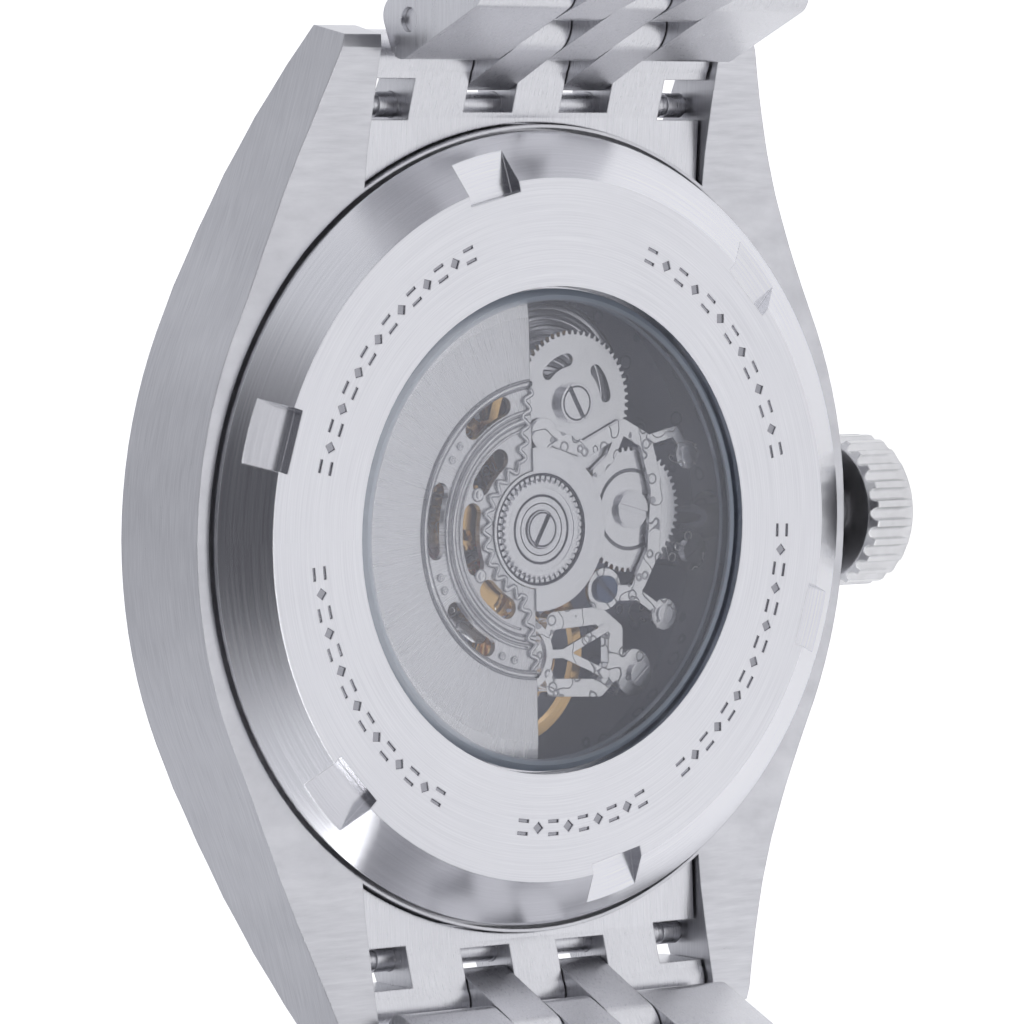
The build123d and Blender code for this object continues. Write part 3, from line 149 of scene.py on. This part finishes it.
def feed(tree, socket, value):
    if isinstance(value, Value):
        tree.links.new(value.socket, socket)
    elif isinstance(value, tuple) and len(value) == 3 and socket.type == "RGBA":
        socket.default_value = (*value, 1.0)
    else:
        socket.default_value = value


class Finish:
    """A Principled material under construction, with the point that is being shaded, in millimetres."""

    def __init__(self, name, colour, roughness, metallic=1.0, **constants):
        self.material = bpy.data.materials.new(name)
        self.material.use_nodes = True
        self.tree = self.material.node_tree
        self.shader = self.tree.nodes["Principled BSDF"]
        self.set("Base Color", colour)
        self.set("Roughness", roughness)
        self.set("Metallic", metallic)
        for socket, value in constants.items():
            self.set(socket.replace("_", " "), value)
        place = self.tree.nodes.new("ShaderNodeTexCoord")
        self.metres = Value(self.tree, place.outputs["Object"])
        self.point = self.metres.node(
            "ShaderNodeVectorMath", {0: self.metres, 3: 1 / MM}, operation="SCALE")
        self.right = self.point.split(2) * -1
        self.up = self.point.split(0) * -1
        self.out = self.point.split(1) + GLASS_TOP

    def set(self, socket, value):
        feed(self.tree, self.shader.inputs[socket], value)

    def radius(self, about=(0, 0)):
        across, along = self.right - about[0], self.up - about[1]
        return (across * across + along * along).math("SQRT")

    def angle(self, about=(0, 0)):
        return (self.up - about[1]).math("ARCTAN2", self.right - about[0])

    def relief(self, height, depth, edge=0.0):
        """Bumps the surface by a height of 0 to 1 times depth in mm, over softly rounded edges."""
        inputs = {"Height": height, "Distance": depth * MM, "Strength": 1.0}
        if edge:
            inputs["Normal"] = self.soft_edge(edge)
        self.set("Normal", self.point.node("ShaderNodeBump", inputs))

    def soft_edge(self, radius):
        return self.point.node("ShaderNodeBevel", {"Radius": radius * MM}, samples=4)


print("materials are built from", Value.__name__, "and", Finish.__name__)

# %% [markdown]
# Steel on a watch is never plain. A brushed face is covered in fine parallel scratches left by an
# abrasive belt, straight on links and flanks, and round on a case back that was finished on a lathe.
# The scratches are noise, stretched a hundred times along the belt's direction.

# %% Brushing in three directions
def straight_lines(finish, across=22.0, along=0.5):
    """Scratches along the bracelet, towards 6 o'clock."""
    point = finish.point.vector(finish.right * across, finish.up * along, finish.out * across * 0.25)
    return point.noise(1.0, 4.0, 0.6)


def flank_lines(finish, across=20.0, along=0.5):
    """Scratches on the case's side, which run towards 6 o'clock at one height."""
    point = finish.point.vector(finish.right * 0.4, finish.up * along, finish.out * across)
    return point.noise(1.0, 4.0, 0.6)


def round_lines(finish, across=16.0, along=2.2, about=(0, 0)):
    point = finish.point.vector(finish.radius(about) * across, finish.angle(about) * along, 0.0)
    return point.noise(1.0, 4.0, 0.6)


def ray_lines(finish, across=130.0, along=0.25, about=(0, 0)):
    point = finish.point.vector(finish.angle(about) * across, finish.radius(about) * along, 0.0)
    return point.noise(1.0, 4.0, 0.6)


STEEL = (0.80, 0.80, 0.825)
STEEL_DARK = (0.64, 0.64, 0.665)


def brushed(name, lines, colour=STEEL, dark=STEEL_DARK, roughness=0.3, depth=0.004, edge=0.09):
    """Steel with scratches that also shift its colour and its gloss a little."""
    finish = Finish(name, colour, roughness)
    scratch = lines(finish)
    patches = finish.point.noise(0.35, 2.0)
    tone = (scratch.clamp(0.3, 0.7) * 0.75 + patches.clamp(0.3, 0.7) * 0.25)
    finish.set("Base Color", tone.mix(dark, colour))
    finish.set("Roughness", scratch.clamp(0.25, 0.75) * 0.12 + (roughness - 0.06))
    finish.relief(scratch, depth, edge)
    return finish


link_steel = brushed("link_steel", straight_lines)
# Painted shade: the case's flank and bezel get a darker copy of the link steel.
shaded_flank_steel = brushed("shaded_flank_steel", flank_lines, (0.72, 0.72, 0.745), (0.56, 0.56, 0.585), 0.33)
print("brushed steels:", link_steel.material.name, shaded_flank_steel.material.name)

# %% [markdown]
# The case back was turned: its flat ring is brushed in circles and its bevel is finer, almost
# polished. One material covers the whole ring and changes with the distance from the axis. Notches cut
# with a mill have smooth floors, so the scratches fade below the bevel.

# %% Masks for painted shade in grooves and screw slots
def band(value, low, high, soft=0.04):
    """1 between low and high, 0 outside."""
    return value.clamp(low - soft, low) * (1 - value.clamp(high, high + soft))


# The slot mask marks where painted shade goes: in a screw's slot and in the gap round its head.
def slot(finish, about, reach, tilt, half=0.1):
    """1 in a screw's slot and in the thin gap round its head, 0 elsewhere."""
    across, along = finish.right - about[0], finish.up - about[1]
    side = (across * sin(radians(tilt)) - along * cos(radians(tilt))).math("ABSOLUTE")
    distance = finish.radius(about)
    cut_shade = (1 - side.clamp(half, half + 0.03)) * (1 - distance.clamp(reach, reach + 0.02))
    return (cut_shade + band(distance, reach + 0.04, reach + 0.1, 0.03)).math("MINIMUM", 1.0)


def darken(finish, colour, mask, dark=(0.10, 0.10, 0.12)):
    """Sets the base colour to dark where mask is 1 and to colour elsewhere."""
    inputs = {0: mask, 6: colour, 7: dark}
    finish.set("Base Color", mask.node("ShaderNodeMix", inputs, output=2, data_type="RGBA"))


print("masks ready")

# %% Case back
back_steel = Finish("back_steel", STEEL, 0.3)
circles = round_lines(back_steel)
bevel = back_steel.radius().clamp(16.38, 16.5)
level = back_steel.out.clamp(1.30, 1.34)
fine = (1 - bevel) * level
tone = circles.clamp(0.3, 0.7) * 0.8 + back_steel.point.noise(0.3, 2.0) * 0.2
# Painted shade: the floors of the engraved marks on the ring are darkened to grey.
engraved_floor_shade = (1 - back_steel.out.clamp(1.28, 1.3)) * band(back_steel.radius(), 12.8, 15.2)
darken(back_steel, tone.mix((0.70, 0.70, 0.73), (0.83, 0.83, 0.855)), engraved_floor_shade, (0.36, 0.36, 0.39))
back_steel.set("Roughness", fine * 0.13 + circles.clamp(0.2, 0.8) * 0.06 + 0.18)
back_steel.relief(circles * (fine * 0.7 + 0.3), 0.004, 0.08)
print("case back:", back_steel.material.name)

# %% [markdown]
# Polished steel shows its surroundings, and is only as interesting as they are. Slight waviness
# and a trace of hairlines keep it from looking like a mirror in a drawing program.

# %% Polished steel
def polished(name, colour=(0.78, 0.78, 0.79), roughness=0.1, edge=0.06):
    finish = Finish(name, colour, roughness)
    haze = finish.point.noise(1.2, 3.0)
    hair = finish.point.noise(14.0, 4.0)
    finish.set("Base Color", haze.clamp(0.35, 0.65).mix(tuple(c * 0.9 for c in colour), colour))
    finish.set("Roughness", haze.clamp(0.3, 0.7) * 0.06 + hair * 0.04 + (roughness - 0.03))
    finish.relief(haze * 0.7 + hair * 0.3, 0.006, edge)
    return finish


mirror_steel = polished("mirror_steel")
crown_steel = polished("crown_steel", roughness=0.16, edge=0.12)
screw_steel = polished("screw_steel", (0.8, 0.8, 0.81), 0.14, 0.03)
print("polished steels made")

# %% [markdown]
# The rotor's heavy rim is brushed outwards from the axis, so it flashes like a fan as it swings. Thin
# dark rings of painted shade mark where its web begins and run beside the ribs.

# %% Rotor weight
weight_steel = Finish("weight_steel", STEEL, 0.3)
rays = ray_lines(weight_steel)
border = weight_steel.radius().clamp(9.9, 10.02)
ray_tone = rays.clamp(0.3, 0.7)
seat = weight_steel.radius()
# Painted shade: thin dark rings at the foot of the ribs and round the web.
lines = band(seat, 6.63, 6.69) + band(seat, 5.4, 5.45) + band(seat, 4.99, 5.04) + band(seat, 7.02, 7.06)
darken(weight_steel, ray_tone.mix((0.80, 0.80, 0.82), (0.95, 0.95, 0.96)), lines * 0.75)
weight_steel.set("Roughness", rays.clamp(0.3, 0.7) * 0.12 + (1 - border) * 0.06 + 0.18)
weight_steel.relief(rays, 0.0035, 0.05)
print("rotor weight:", weight_steel.material.name)

# %% [markdown]
# The bridges of a decorated movement are engraved with scrolls. The cuts are rougher than the plated
# faces, and their darker colour is painted shade. Lines of equal height in a slow noise curl round
# each other as scrolls do, so a thin band around one height gives the cuts.

# %% Engraved plates
def scrolls(finish, scale, width):
    """1 in the cuts and 0 on the faces between them."""
    field = finish.point.noise(scale, 1.2, 0.45)
    wave = (field * 12.0).math("SINE").math("ABSOLUTE")
    return 1 - wave.clamp(width * 0.5, width)


def engraved(name, face, cut_shade, scale, width, lines, roughness=0.2):
    finish = Finish(name, face, roughness)
    distance = finish.point.cells(scale * 1.6)
    curls = distance.clamp(0.20, 0.23) * (1 - distance.clamp(0.28, 0.31))
    cuts = (scrolls(finish, scale, width) * lines + curls * 0.6).math("MINIMUM", 1.0)
    grain = finish.point.noise(9.0, 4.0)
    # Painted shade: the cuts take a darker colour than the faces; their extra roughness is their own
    # finish.
    finish.set("Base Color", cuts.mix(tuple(face), tuple(cut_shade)))
    finish.set("Roughness", cuts * 0.25 + grain * 0.08 + (roughness - 0.04))
    finish.relief(1 - cuts, 0.03, 0.04)
    return finish


bridge_plate = engraved("bridge_plate", (0.94, 0.94, 0.95), (0.36, 0.36, 0.40), 0.7, 0.12, 0.8)
# Painted shade and dark reflection: the main plate and dial, deep in the movement, are a dark blue-grey.
shaded_deep_plate = engraved("shaded_deep_plate", (0.27, 0.28, 0.35), (0.16, 0.17, 0.22), 0.5, 0.2, 0.15, 0.36)
print("plates made")

# %% [markdown]
# Train wheels are gilt brass, and winding wheels are steel; both are finished in circles about their
# own arbors. One screw is heated until it turns blue. The jewels are synthetic ruby.

# %% Gilt, ruby and blued steel
def gilt(name, about, colour=(0.95, 0.66, 0.30)):
    finish = Finish(name, colour, 0.24)
    lines = round_lines(finish, 18.0, 2.0, about)
    finish.set("Base Color", lines.clamp(0.3, 0.7).mix((0.72, 0.44, 0.17), colour))
    finish.set("Roughness", lines * 0.14 + 0.17)
    finish.relief(lines, 0.004, 0.03)
    return finish


def wheel_steel(name, about):
    finish = Finish(name, (0.9, 0.9, 0.91), 0.2)
    lines = round_lines(finish, 16.0, 2.0, about)
    finish.set("Base Color", lines.clamp(0.3, 0.7).mix((0.76, 0.76, 0.78), (0.94, 0.94, 0.95)))
    finish.set("Roughness", lines * 0.14 + 0.12)
    finish.relief(lines, 0.004, 0.03)
    return finish



hub_steel = wheel_steel("hub_steel", AXIS)
reach, spin = hub_steel.radius(), hub_steel.angle()
turns = round_lines(hub_steel, 16.0, 2.0)
notch = (spin * 24.0).math("SINE").math("ABSOLUTE").clamp(0.25, 0.6)
between_teeth = 1 - notch * band(reach, 2.36, 2.5)
# Painted shade: the turned grooves and the gaps between the hub's teeth are darkened almost to black.
shaded_grooves = band(reach, 1.02, 1.2) + band(reach, 1.55, 1.62) + band(reach, 2.36, 2.62) * between_teeth
hub_face = turns.clamp(0.3, 0.7).mix((0.86, 0.86, 0.88), (0.96, 0.96, 0.97))
darken(hub_steel, hub_face, shaded_grooves.math("MINIMUM", 1.0))
hub_steel.set("Roughness", turns * 0.14 + shaded_grooves * 0.2 + 0.14)
hub_steel.relief(turns * 0.1 + (1 - shaded_grooves) * 0.9, 0.03, 0.02)

barrel_steel = wheel_steel("barrel_steel", BARREL_AT)
swirl = barrel_steel.radius(BARREL_AT)
rings = (swirl * 13.0).math("SINE").clamp(-0.2, 0.6)
golden = 1 - barrel_steel.right.clamp(1.2, 1.28)
silver = rings.mix((0.55, 0.55, 0.58), (0.94, 0.94, 0.96))
darken(barrel_steel, silver, golden, (0.92, 0.66, 0.32))
barrel_steel.relief(rings, 0.02, 0.03)

WHEEL_CENTRES = {
    "reduction_wheel": (-1.9, 4.3), "centre_wheel": (0, 0),
    "third_wheel": (-3.95, -1.44), "fourth_wheel": (0, 0), "escape_wheel": (3.75, -1.85),
    "balance_wheel": (-0.2, -6.0), "reverser_wheel_a": (-3.84, 0.68), "reverser_wheel_b": (-2.61, -2.9),
}
blue = 1 - screw_steel.radius(BLUE_SCREW_AT).clamp(0.85, 0.9)
head_colour = blue.mix((0.86, 0.86, 0.88), (0.10, 0.13, 0.20))
# Painted shade in the slots of the central screw and the blued screw, and round their heads.
shaded_slots = slot(screw_steel, AXIS, SCREW_HEAD, 60) + slot(screw_steel, BLUE_SCREW_AT, 0.8, 140)
darken(screw_steel, head_colour, shaded_slots)
crown_wheel_steel = wheel_steel("crown_wheel_steel", CROWN_WHEEL_AT)
ratchet_steel = wheel_steel("ratchet_steel", BARREL_AT)
bright = (0.93, 0.93, 0.945)
# Painted shade: a dark ring in the groove near the wheel's rim, and in the screw's slot.
shaded_edge_groove = band(crown_wheel_steel.radius(CROWN_WHEEL_AT), 1.8, 1.93)
darken(crown_wheel_steel, shaded_edge_groove.mix(bright, (0.2, 0.2, 0.22)),
       slot(crown_wheel_steel, CROWN_WHEEL_AT, SCREW_HEAD, 0))
# Painted shade in the ratchet screw's slot and round its head; the pale mottling is the steel's own
# tone.
darken(ratchet_steel, ratchet_steel.point.noise(0.8).mix((0.84, 0.84, 0.86), (0.96, 0.96, 0.97)),
       slot(ratchet_steel, BARREL_AT, SCREW_HEAD, 120))
ruby = Finish("ruby", (0.75, 0.06, 0.2), 0.06, 0.0, Coat_Weight=0.6)
ruby.set("Base Color", ruby.point.noise(2.0, 2.0).mix((0.5, 0.02, 0.1), (0.85, 0.1, 0.28)))
print(len(WHEEL_CENTRES), "gilt wheels")

# %% [markdown]
# Sapphire glass is clear, with an antireflective film that leaves a faint blue. Face on it lets
# nearly everything through; its chamfered edge carries a painted highlight, a pale blue ring. A
# transparent shader mixed with a glossy one keeps the movement bright, where refraction would throw it
# into shade.

# %% Crystals
def crystal(name, ring_from, tint, veil):
    finish = Finish(name, tint, 0.03, 0.0, Coat_Weight=0.0)
    edge = finish.radius().clamp(ring_from, ring_from + 0.12)
    smudge = finish.point.noise(0.25, 2.0)
    view = finish.point.node("ShaderNodeFresnel", {"IOR": 1.35})
    amount = view * 0.5 + edge * 0.45 + smudge * 0.05 + veil
    clear = finish.tree.nodes.new("ShaderNodeBsdfTransparent")
    blend = finish.tree.nodes.new("ShaderNodeMixShader")
    feed(finish.tree, blend.inputs[0], amount.math("MINIMUM", 1.0))
    finish.tree.links.new(clear.outputs[0], blend.inputs[1])
    finish.tree.links.new(finish.shader.outputs[0], blend.inputs[2])
    finish.tree.links.new(blend.outputs[0], finish.tree.nodes["Material Output"].inputs["Surface"])
    # Painted highlight: a pale blue-white ring on the chamfered edge.
    finish.set("Base Color", edge.mix((0.90, 0.91, 0.97), tint))
    return finish


back_glass = crystal("back_glass", 10.7, (0.50, 0.56, 0.64), 0.15)
front_glass = crystal("front_glass", 15.85, (0.55, 0.62, 0.7), 0.03)
print("crystals made")

# %% [markdown]
# Every node of the frame gets the finish of the real piece, by name. Nothing is moved or reshaped.

# %% Dress the CAD nodes
def dress(name, finish):
    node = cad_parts[name]
    for slot in node.material_slots:
        slot.material = finish.material
    if not node.material_slots:
        node.data.materials.append(finish.material)


PLAIN_FINISHES = {
    "case_body": shaded_flank_steel, "bezel": shaded_flank_steel, "caseback": back_steel, "crown": crown_steel,
    "front_crystal": front_glass, "caseback_crystal": back_glass,
    "winding_stem": mirror_steel, "winding_pinion": mirror_steel,
    "mainplate": shaded_deep_plate, "bridges": bridge_plate,
    "pallet_fork": mirror_steel, "rotor_weight": weight_steel, "screws": screw_steel, "jewels": ruby,
    "barrel": barrel_steel, "rotor_hub": hub_steel, "ratchet_wheel": ratchet_steel,
    "crown_wheel": crown_wheel_steel, "dial": shaded_deep_plate,
    "hour_hand": mirror_steel, "minute_hand": mirror_steel,
    "seconds_hand": mirror_steel, "end_links": link_steel,
    "clasp_cover": link_steel, "clasp_middle_blade": mirror_steel, "clasp_lower_blade": mirror_steel,
}
for name, finish in PLAIN_FINISHES.items():
    dress(name, finish)
for name, about in WHEEL_CENTRES.items():
    dress(name, gilt("gilt_" + name, about))
links = sorted(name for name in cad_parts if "_link_" in name)
for name in links:
    dress(name, link_steel)
print(len(PLAIN_FINISHES), "plain nodes and", len(links), "links dressed")

# %% [markdown]
# The rotor of a decorated automatic is pierced and chased. On its web stand raised ribs: a smooth
# one round the windows, a double one between their two rows and a wavy one along the inner edge.
# Each rib is a small swept section, built from a row of points, so its crest catches the light.

# %% A swept rib
def rib(name, points, width, low, high, finish, body, closed=False):
    """A ridge with a rounded top that follows points (x, y) between two heights."""
    section = [(-0.5, 0.0), (-0.5, 0.55), (-0.3, 0.9), (0.0, 1.0), (0.3, 0.9), (0.5, 0.55), (0.5, 0.0)]
    shape = bmesh.new()
    rings = []
    count = len(points)
    for n, (x, y) in enumerate(points):
        before = points[(n - 1) % count] if closed or n else points[n]
        after = points[(n + 1) % count] if closed or n < count - 1 else points[n]
        dx, dy = after[0] - before[0], after[1] - before[1]
        length = hypot(dx, dy)
        side = (-dy / length * width, dx / length * width)
        rings.append([
            shape.verts.new(at(x + side[0] * a, y + side[1] * a, low + (high - low) * h))
            for a, h in section])
    pairs = list(zip(rings, rings[1:])) + ([(rings[-1], rings[0])] if closed else [])
    for first, second in pairs:
        for a, b, c, d in zip(first, first[1:], second[1:], second):
            shape.faces.new((a, b, c, d))
        shape.faces.new((first[0], second[0], second[-1], first[-1]))
    if not closed:
        shape.faces.new(rings[0])
        shape.faces.new(reversed(rings[-1]))
    bmesh.ops.recalc_face_normals(shape, faces=shape.faces)
    mesh = bpy.data.meshes.new(name)
    shape.to_mesh(mesh)
    shape.free()
    for face in mesh.polygons:
        face.use_smooth = True
    mesh.materials.append(finish.material)
    made = bpy.data.objects.new(name, mesh)
    bpy.context.scene.collection.objects.link(made)
    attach(made, body)
    return made


def arc(radius, start, end, steps=60, about=(0, 0), wave=0.0, waves=0):
    """Points along an arc in degrees, with an optional radial wave."""
    points = []
    for n in range(steps + 1):
        share = n / steps
        angle = radians(start + (end - start) * share)
        reach = radius + wave * sin(2 * pi * waves * share)
        points.append((about[0] + reach * cos(angle), about[1] + reach * sin(angle)))
    return points


print("a rib's section has 7 points")

# %% Ribs on the rotor
WEB_TOP = 0.1                 # the upper face of the rotor's web, in mm
SUNK = 0.02                   # how deep a rib or stud stands in the web
lace_steel = polished("lace_steel", (0.86, 0.86, 0.87), 0.14, 0.0)
ribs = {
    "rotor_rib_outer": (arc(6.86, 95, 269), 0.26, 0.16),
    "rotor_rib_middle": (arc(5.6, 99, 262), 0.18, 0.13),
    "rotor_rib_inner": (arc(5.2, 100, 260), 0.26, 0.17),
    "rotor_rib_band": (arc(4.78, 104, 256), 0.14, 0.11),
}
for name, (points, width, rise) in ribs.items():
    rib(name, points, width, WEB_TOP - SUNK, WEB_TOP + rise, lace_steel, "rotor")
print(len(ribs), "plain ribs")

# %% The wavy rib
WAVE_HEIGHT, WAVE_LENGTH = 0.21, 0.76


def wavy(path, pitch, height):
    """Runs along a path and swings to each side of it."""
    points, gone = [], 0.0
    for (x0, y0), (x1, y1) in zip(path, path[1:]):
        length = hypot(x1 - x0, y1 - y0)
        steps = max(1, int(length / 0.05))
        for n in range(steps):
            share = n / steps
            swing = height * sin(2 * pi * (gone + length * share) / pitch)
            points.append((x0 + (x1 - x0) * share - (y1 - y0) / length * swing,
                           y0 + (y1 - y0) * share + (x1 - x0) / length * swing))
        gone += length
    return points


upper_edge = [(-0.75, 6.6), (-0.95, 5.4), (-1.05, 4.2)]
lower_edge = [(-0.75, -4.2), (-0.5, -5.4), (-0.25, -6.6)]
edge_path = upper_edge + arc(3.25, 112, 249, 40) + lower_edge
waves = wavy(edge_path, WAVE_LENGTH, WAVE_HEIGHT)
rib("rotor_rib_wavy", waves, 0.25, WEB_TOP - SUNK, WEB_TOP + 0.18, lace_steel, "rotor")
print("wavy rib along", len(edge_path), "points")

# %% Studs on the rotor's web
def stud(name, x, y, radius, low, high, finish, body):
    """A turned stud with a rounded shoulder and a dimple in its top."""
    profile = [(1.0, 0.0), (1.0, 0.6), (0.85, 0.95), (0.55, 1.0), (0.35, 0.7), (0.0, 0.6)]
    shape = bmesh.new()
    steps = 28
    rings = []
    for share, height in profile[:-1]:
        turns = [2 * pi * n / steps for n in range(steps)]
        rings.append([
            shape.verts.new(at(x + radius * share * cos(turn), y + radius * share * sin(turn),
                               low + (high - low) * height))
            for turn in turns])
    for first, second in zip(rings, rings[1:]):
        for n in range(steps):
            m = (n + 1) % steps
            shape.faces.new((first[n], first[m], second[m], second[n]))
    shape.faces.new(reversed(rings[0]))
    shape.faces.new(rings[-1])
    bmesh.ops.recalc_face_normals(shape, faces=shape.faces)
    mesh = bpy.data.meshes.new(name)
    shape.to_mesh(mesh)
    shape.free()
    for face in mesh.polygons:
        face.use_smooth = True
    mesh.materials.append(finish.material)
    made = bpy.data.objects.new(name, mesh)
    bpy.context.scene.collection.objects.link(made)
    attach(made, body)


STUD_TOP = 0.2
STUDS = {
    "rotor_stud": (6.25, 0.2, (140, 147, 199, 205, 249, 256)),
    "rotor_eye": (4.1, 0.34, (155, 210)),
}
for name, (reach, radius, angles) in STUDS.items():
    for n, angle in enumerate(angles):
        x, y = reach * cos(radians(angle)), reach * sin(radians(angle))
        stud(f"{name}_{n}", x, y, radius, WEB_TOP - SUNK, STUD_TOP, lace_steel, "rotor")
print("eight studs")

# %% [markdown]
# The watch lies on a pale sweep of paper under a large soft lamp. A metal object needs something
# darker to reflect as well, so the room around it falls to grey away from the lamp. The paper
# and the room look white to the camera, yet light the watch at a plain level.

# %% Floor
FLOOR_SIZE = 1.6
floor_height = BOX_AT_LOAD[0].z - 0.0002
mesh = bpy.data.meshes.new("paper")
sheet = bmesh.new()
bmesh.ops.create_grid(sheet, x_segments=8, y_segments=8, size=FLOOR_SIZE / 2)
sheet.to_mesh(mesh)
sheet.free()
paper = bpy.data.objects.new("paper", mesh)
paper.location = (0, 0, floor_height)
bpy.context.scene.collection.objects.link(paper)
paper_finish = Finish("paper", (0.86, 0.86, 0.87), 0.9, 0.0)
path = paper_finish.tree.nodes.new("ShaderNodeLightPath")
rays_in = {
    kind: Value(paper_finish.tree, path.outputs[f"Is {kind} Ray"])
    for kind in ("Camera", "Glossy", "Transmission")}
glow = (rays_in["Camera"] + rays_in["Transmission"] + rays_in["Glossy"] * 0.7).math("MINIMUM", 1.0)
paper_finish.set("Emission Color", glow.mix((0.0, 0.0, 0.0), (1.0, 1.0, 1.0)))
paper_finish.set("Emission Strength", 0.75)
paper.data.materials.append(paper_finish.material)
print("floor at", round(floor_height / MM, 2), "mm")

# %% Room
world = bpy.data.worlds.new("room")
bpy.context.scene.world = world
world.use_nodes = True
room = world.node_tree
background = room.nodes["Background"]
seen = Value(room, room.nodes.new("ShaderNodeLightPath").outputs["Is Camera Ray"])
where = Value(room, room.nodes.new("ShaderNodeTexCoord").outputs["Generated"])
height = where.split(2)


def towards(x, y, z):
    """How far a direction in the room agrees with (x, y, z), 1 where it is the same."""
    inputs = {0: where, 1: turned(x, y, z)}
    return where.node("ShaderNodeVectorMath", inputs, output=1, operation="DOT_PRODUCT")


lens = towards(-0.53, 0.0, 0.85).clamp(0.78, 0.97)
overhead = (height.clamp(0.6, 0.95) * 0.35 + lens * 0.95).math("MINIMUM", 1.0)
room_tone = overhead.mix((0.70, 0.71, 0.75), (0.04, 0.04, 0.05))
feed(room, background.inputs["Color"], seen.mix(room_tone, (1.0, 1.0, 1.0)))
background.inputs["Strength"].default_value = 1.0
print("room made")

# %% Lamps
def lamp(name, place, target, size, power, colour=(1, 1, 1)):
    data = bpy.data.lights.new(name, "AREA")
    data.shape, data.size, data.size_y = "RECTANGLE", size[0], size[1]
    data.energy, data.color = power, colour
    made = bpy.data.objects.new(name, data)
    made.location = place
    made.rotation_euler = (Vector(target) - Vector(place)).to_track_quat("-Z", "Y").to_euler()
    bpy.context.scene.collection.objects.link(made)


lamp("key", at(120, -200, 240), at(0, 0, 0), (0.35, 0.25), 1.15)
lamp("fill", at(160, 200, 200), at(0, 0, 0), (0.3, 0.3), 0.5)
lamp("rim", at(60, -60, 320), at(0, 0, 0), (0.2, 0.3), 0.4)

# %% [markdown]
# The camera is a long lens that stands off the 9 o'clock side, so the flank shows on the left and
# the crown peeps out on the right. Its place follows from two angles, its distance and a small shift.

# %% Camera
YAW, PITCH, ROLL = radians(38.63), radians(3.53), radians(-0.22)
SHIFT = Vector((1.24, -0.80, -312.5))
LENS, SENSOR = 234.9, 36.0
turn = Matrix.Rotation(ROLL, 3, "Z") @ Matrix.Rotation(PITCH, 3, "X") @ Matrix.Rotation(YAW, 3, "Y")
eye = turn.transposed() @ -SHIFT
columns = [turned(*turn[row]) for row in range(3)]
pose = Matrix(columns).transposed().to_4x4()
pose.translation = at(*eye)
camera_data = bpy.data.cameras.new("camera")
camera_data.lens, camera_data.sensor_width = LENS, SENSOR
camera_data.clip_start, camera_data.clip_end = 0.01, 10.0
camera = bpy.data.objects.new("camera", camera_data)
camera.matrix_world = pose
bpy.context.scene.collection.objects.link(camera)
bpy.context.scene.camera = camera
print("camera at", [round(v, 3) for v in camera.location])
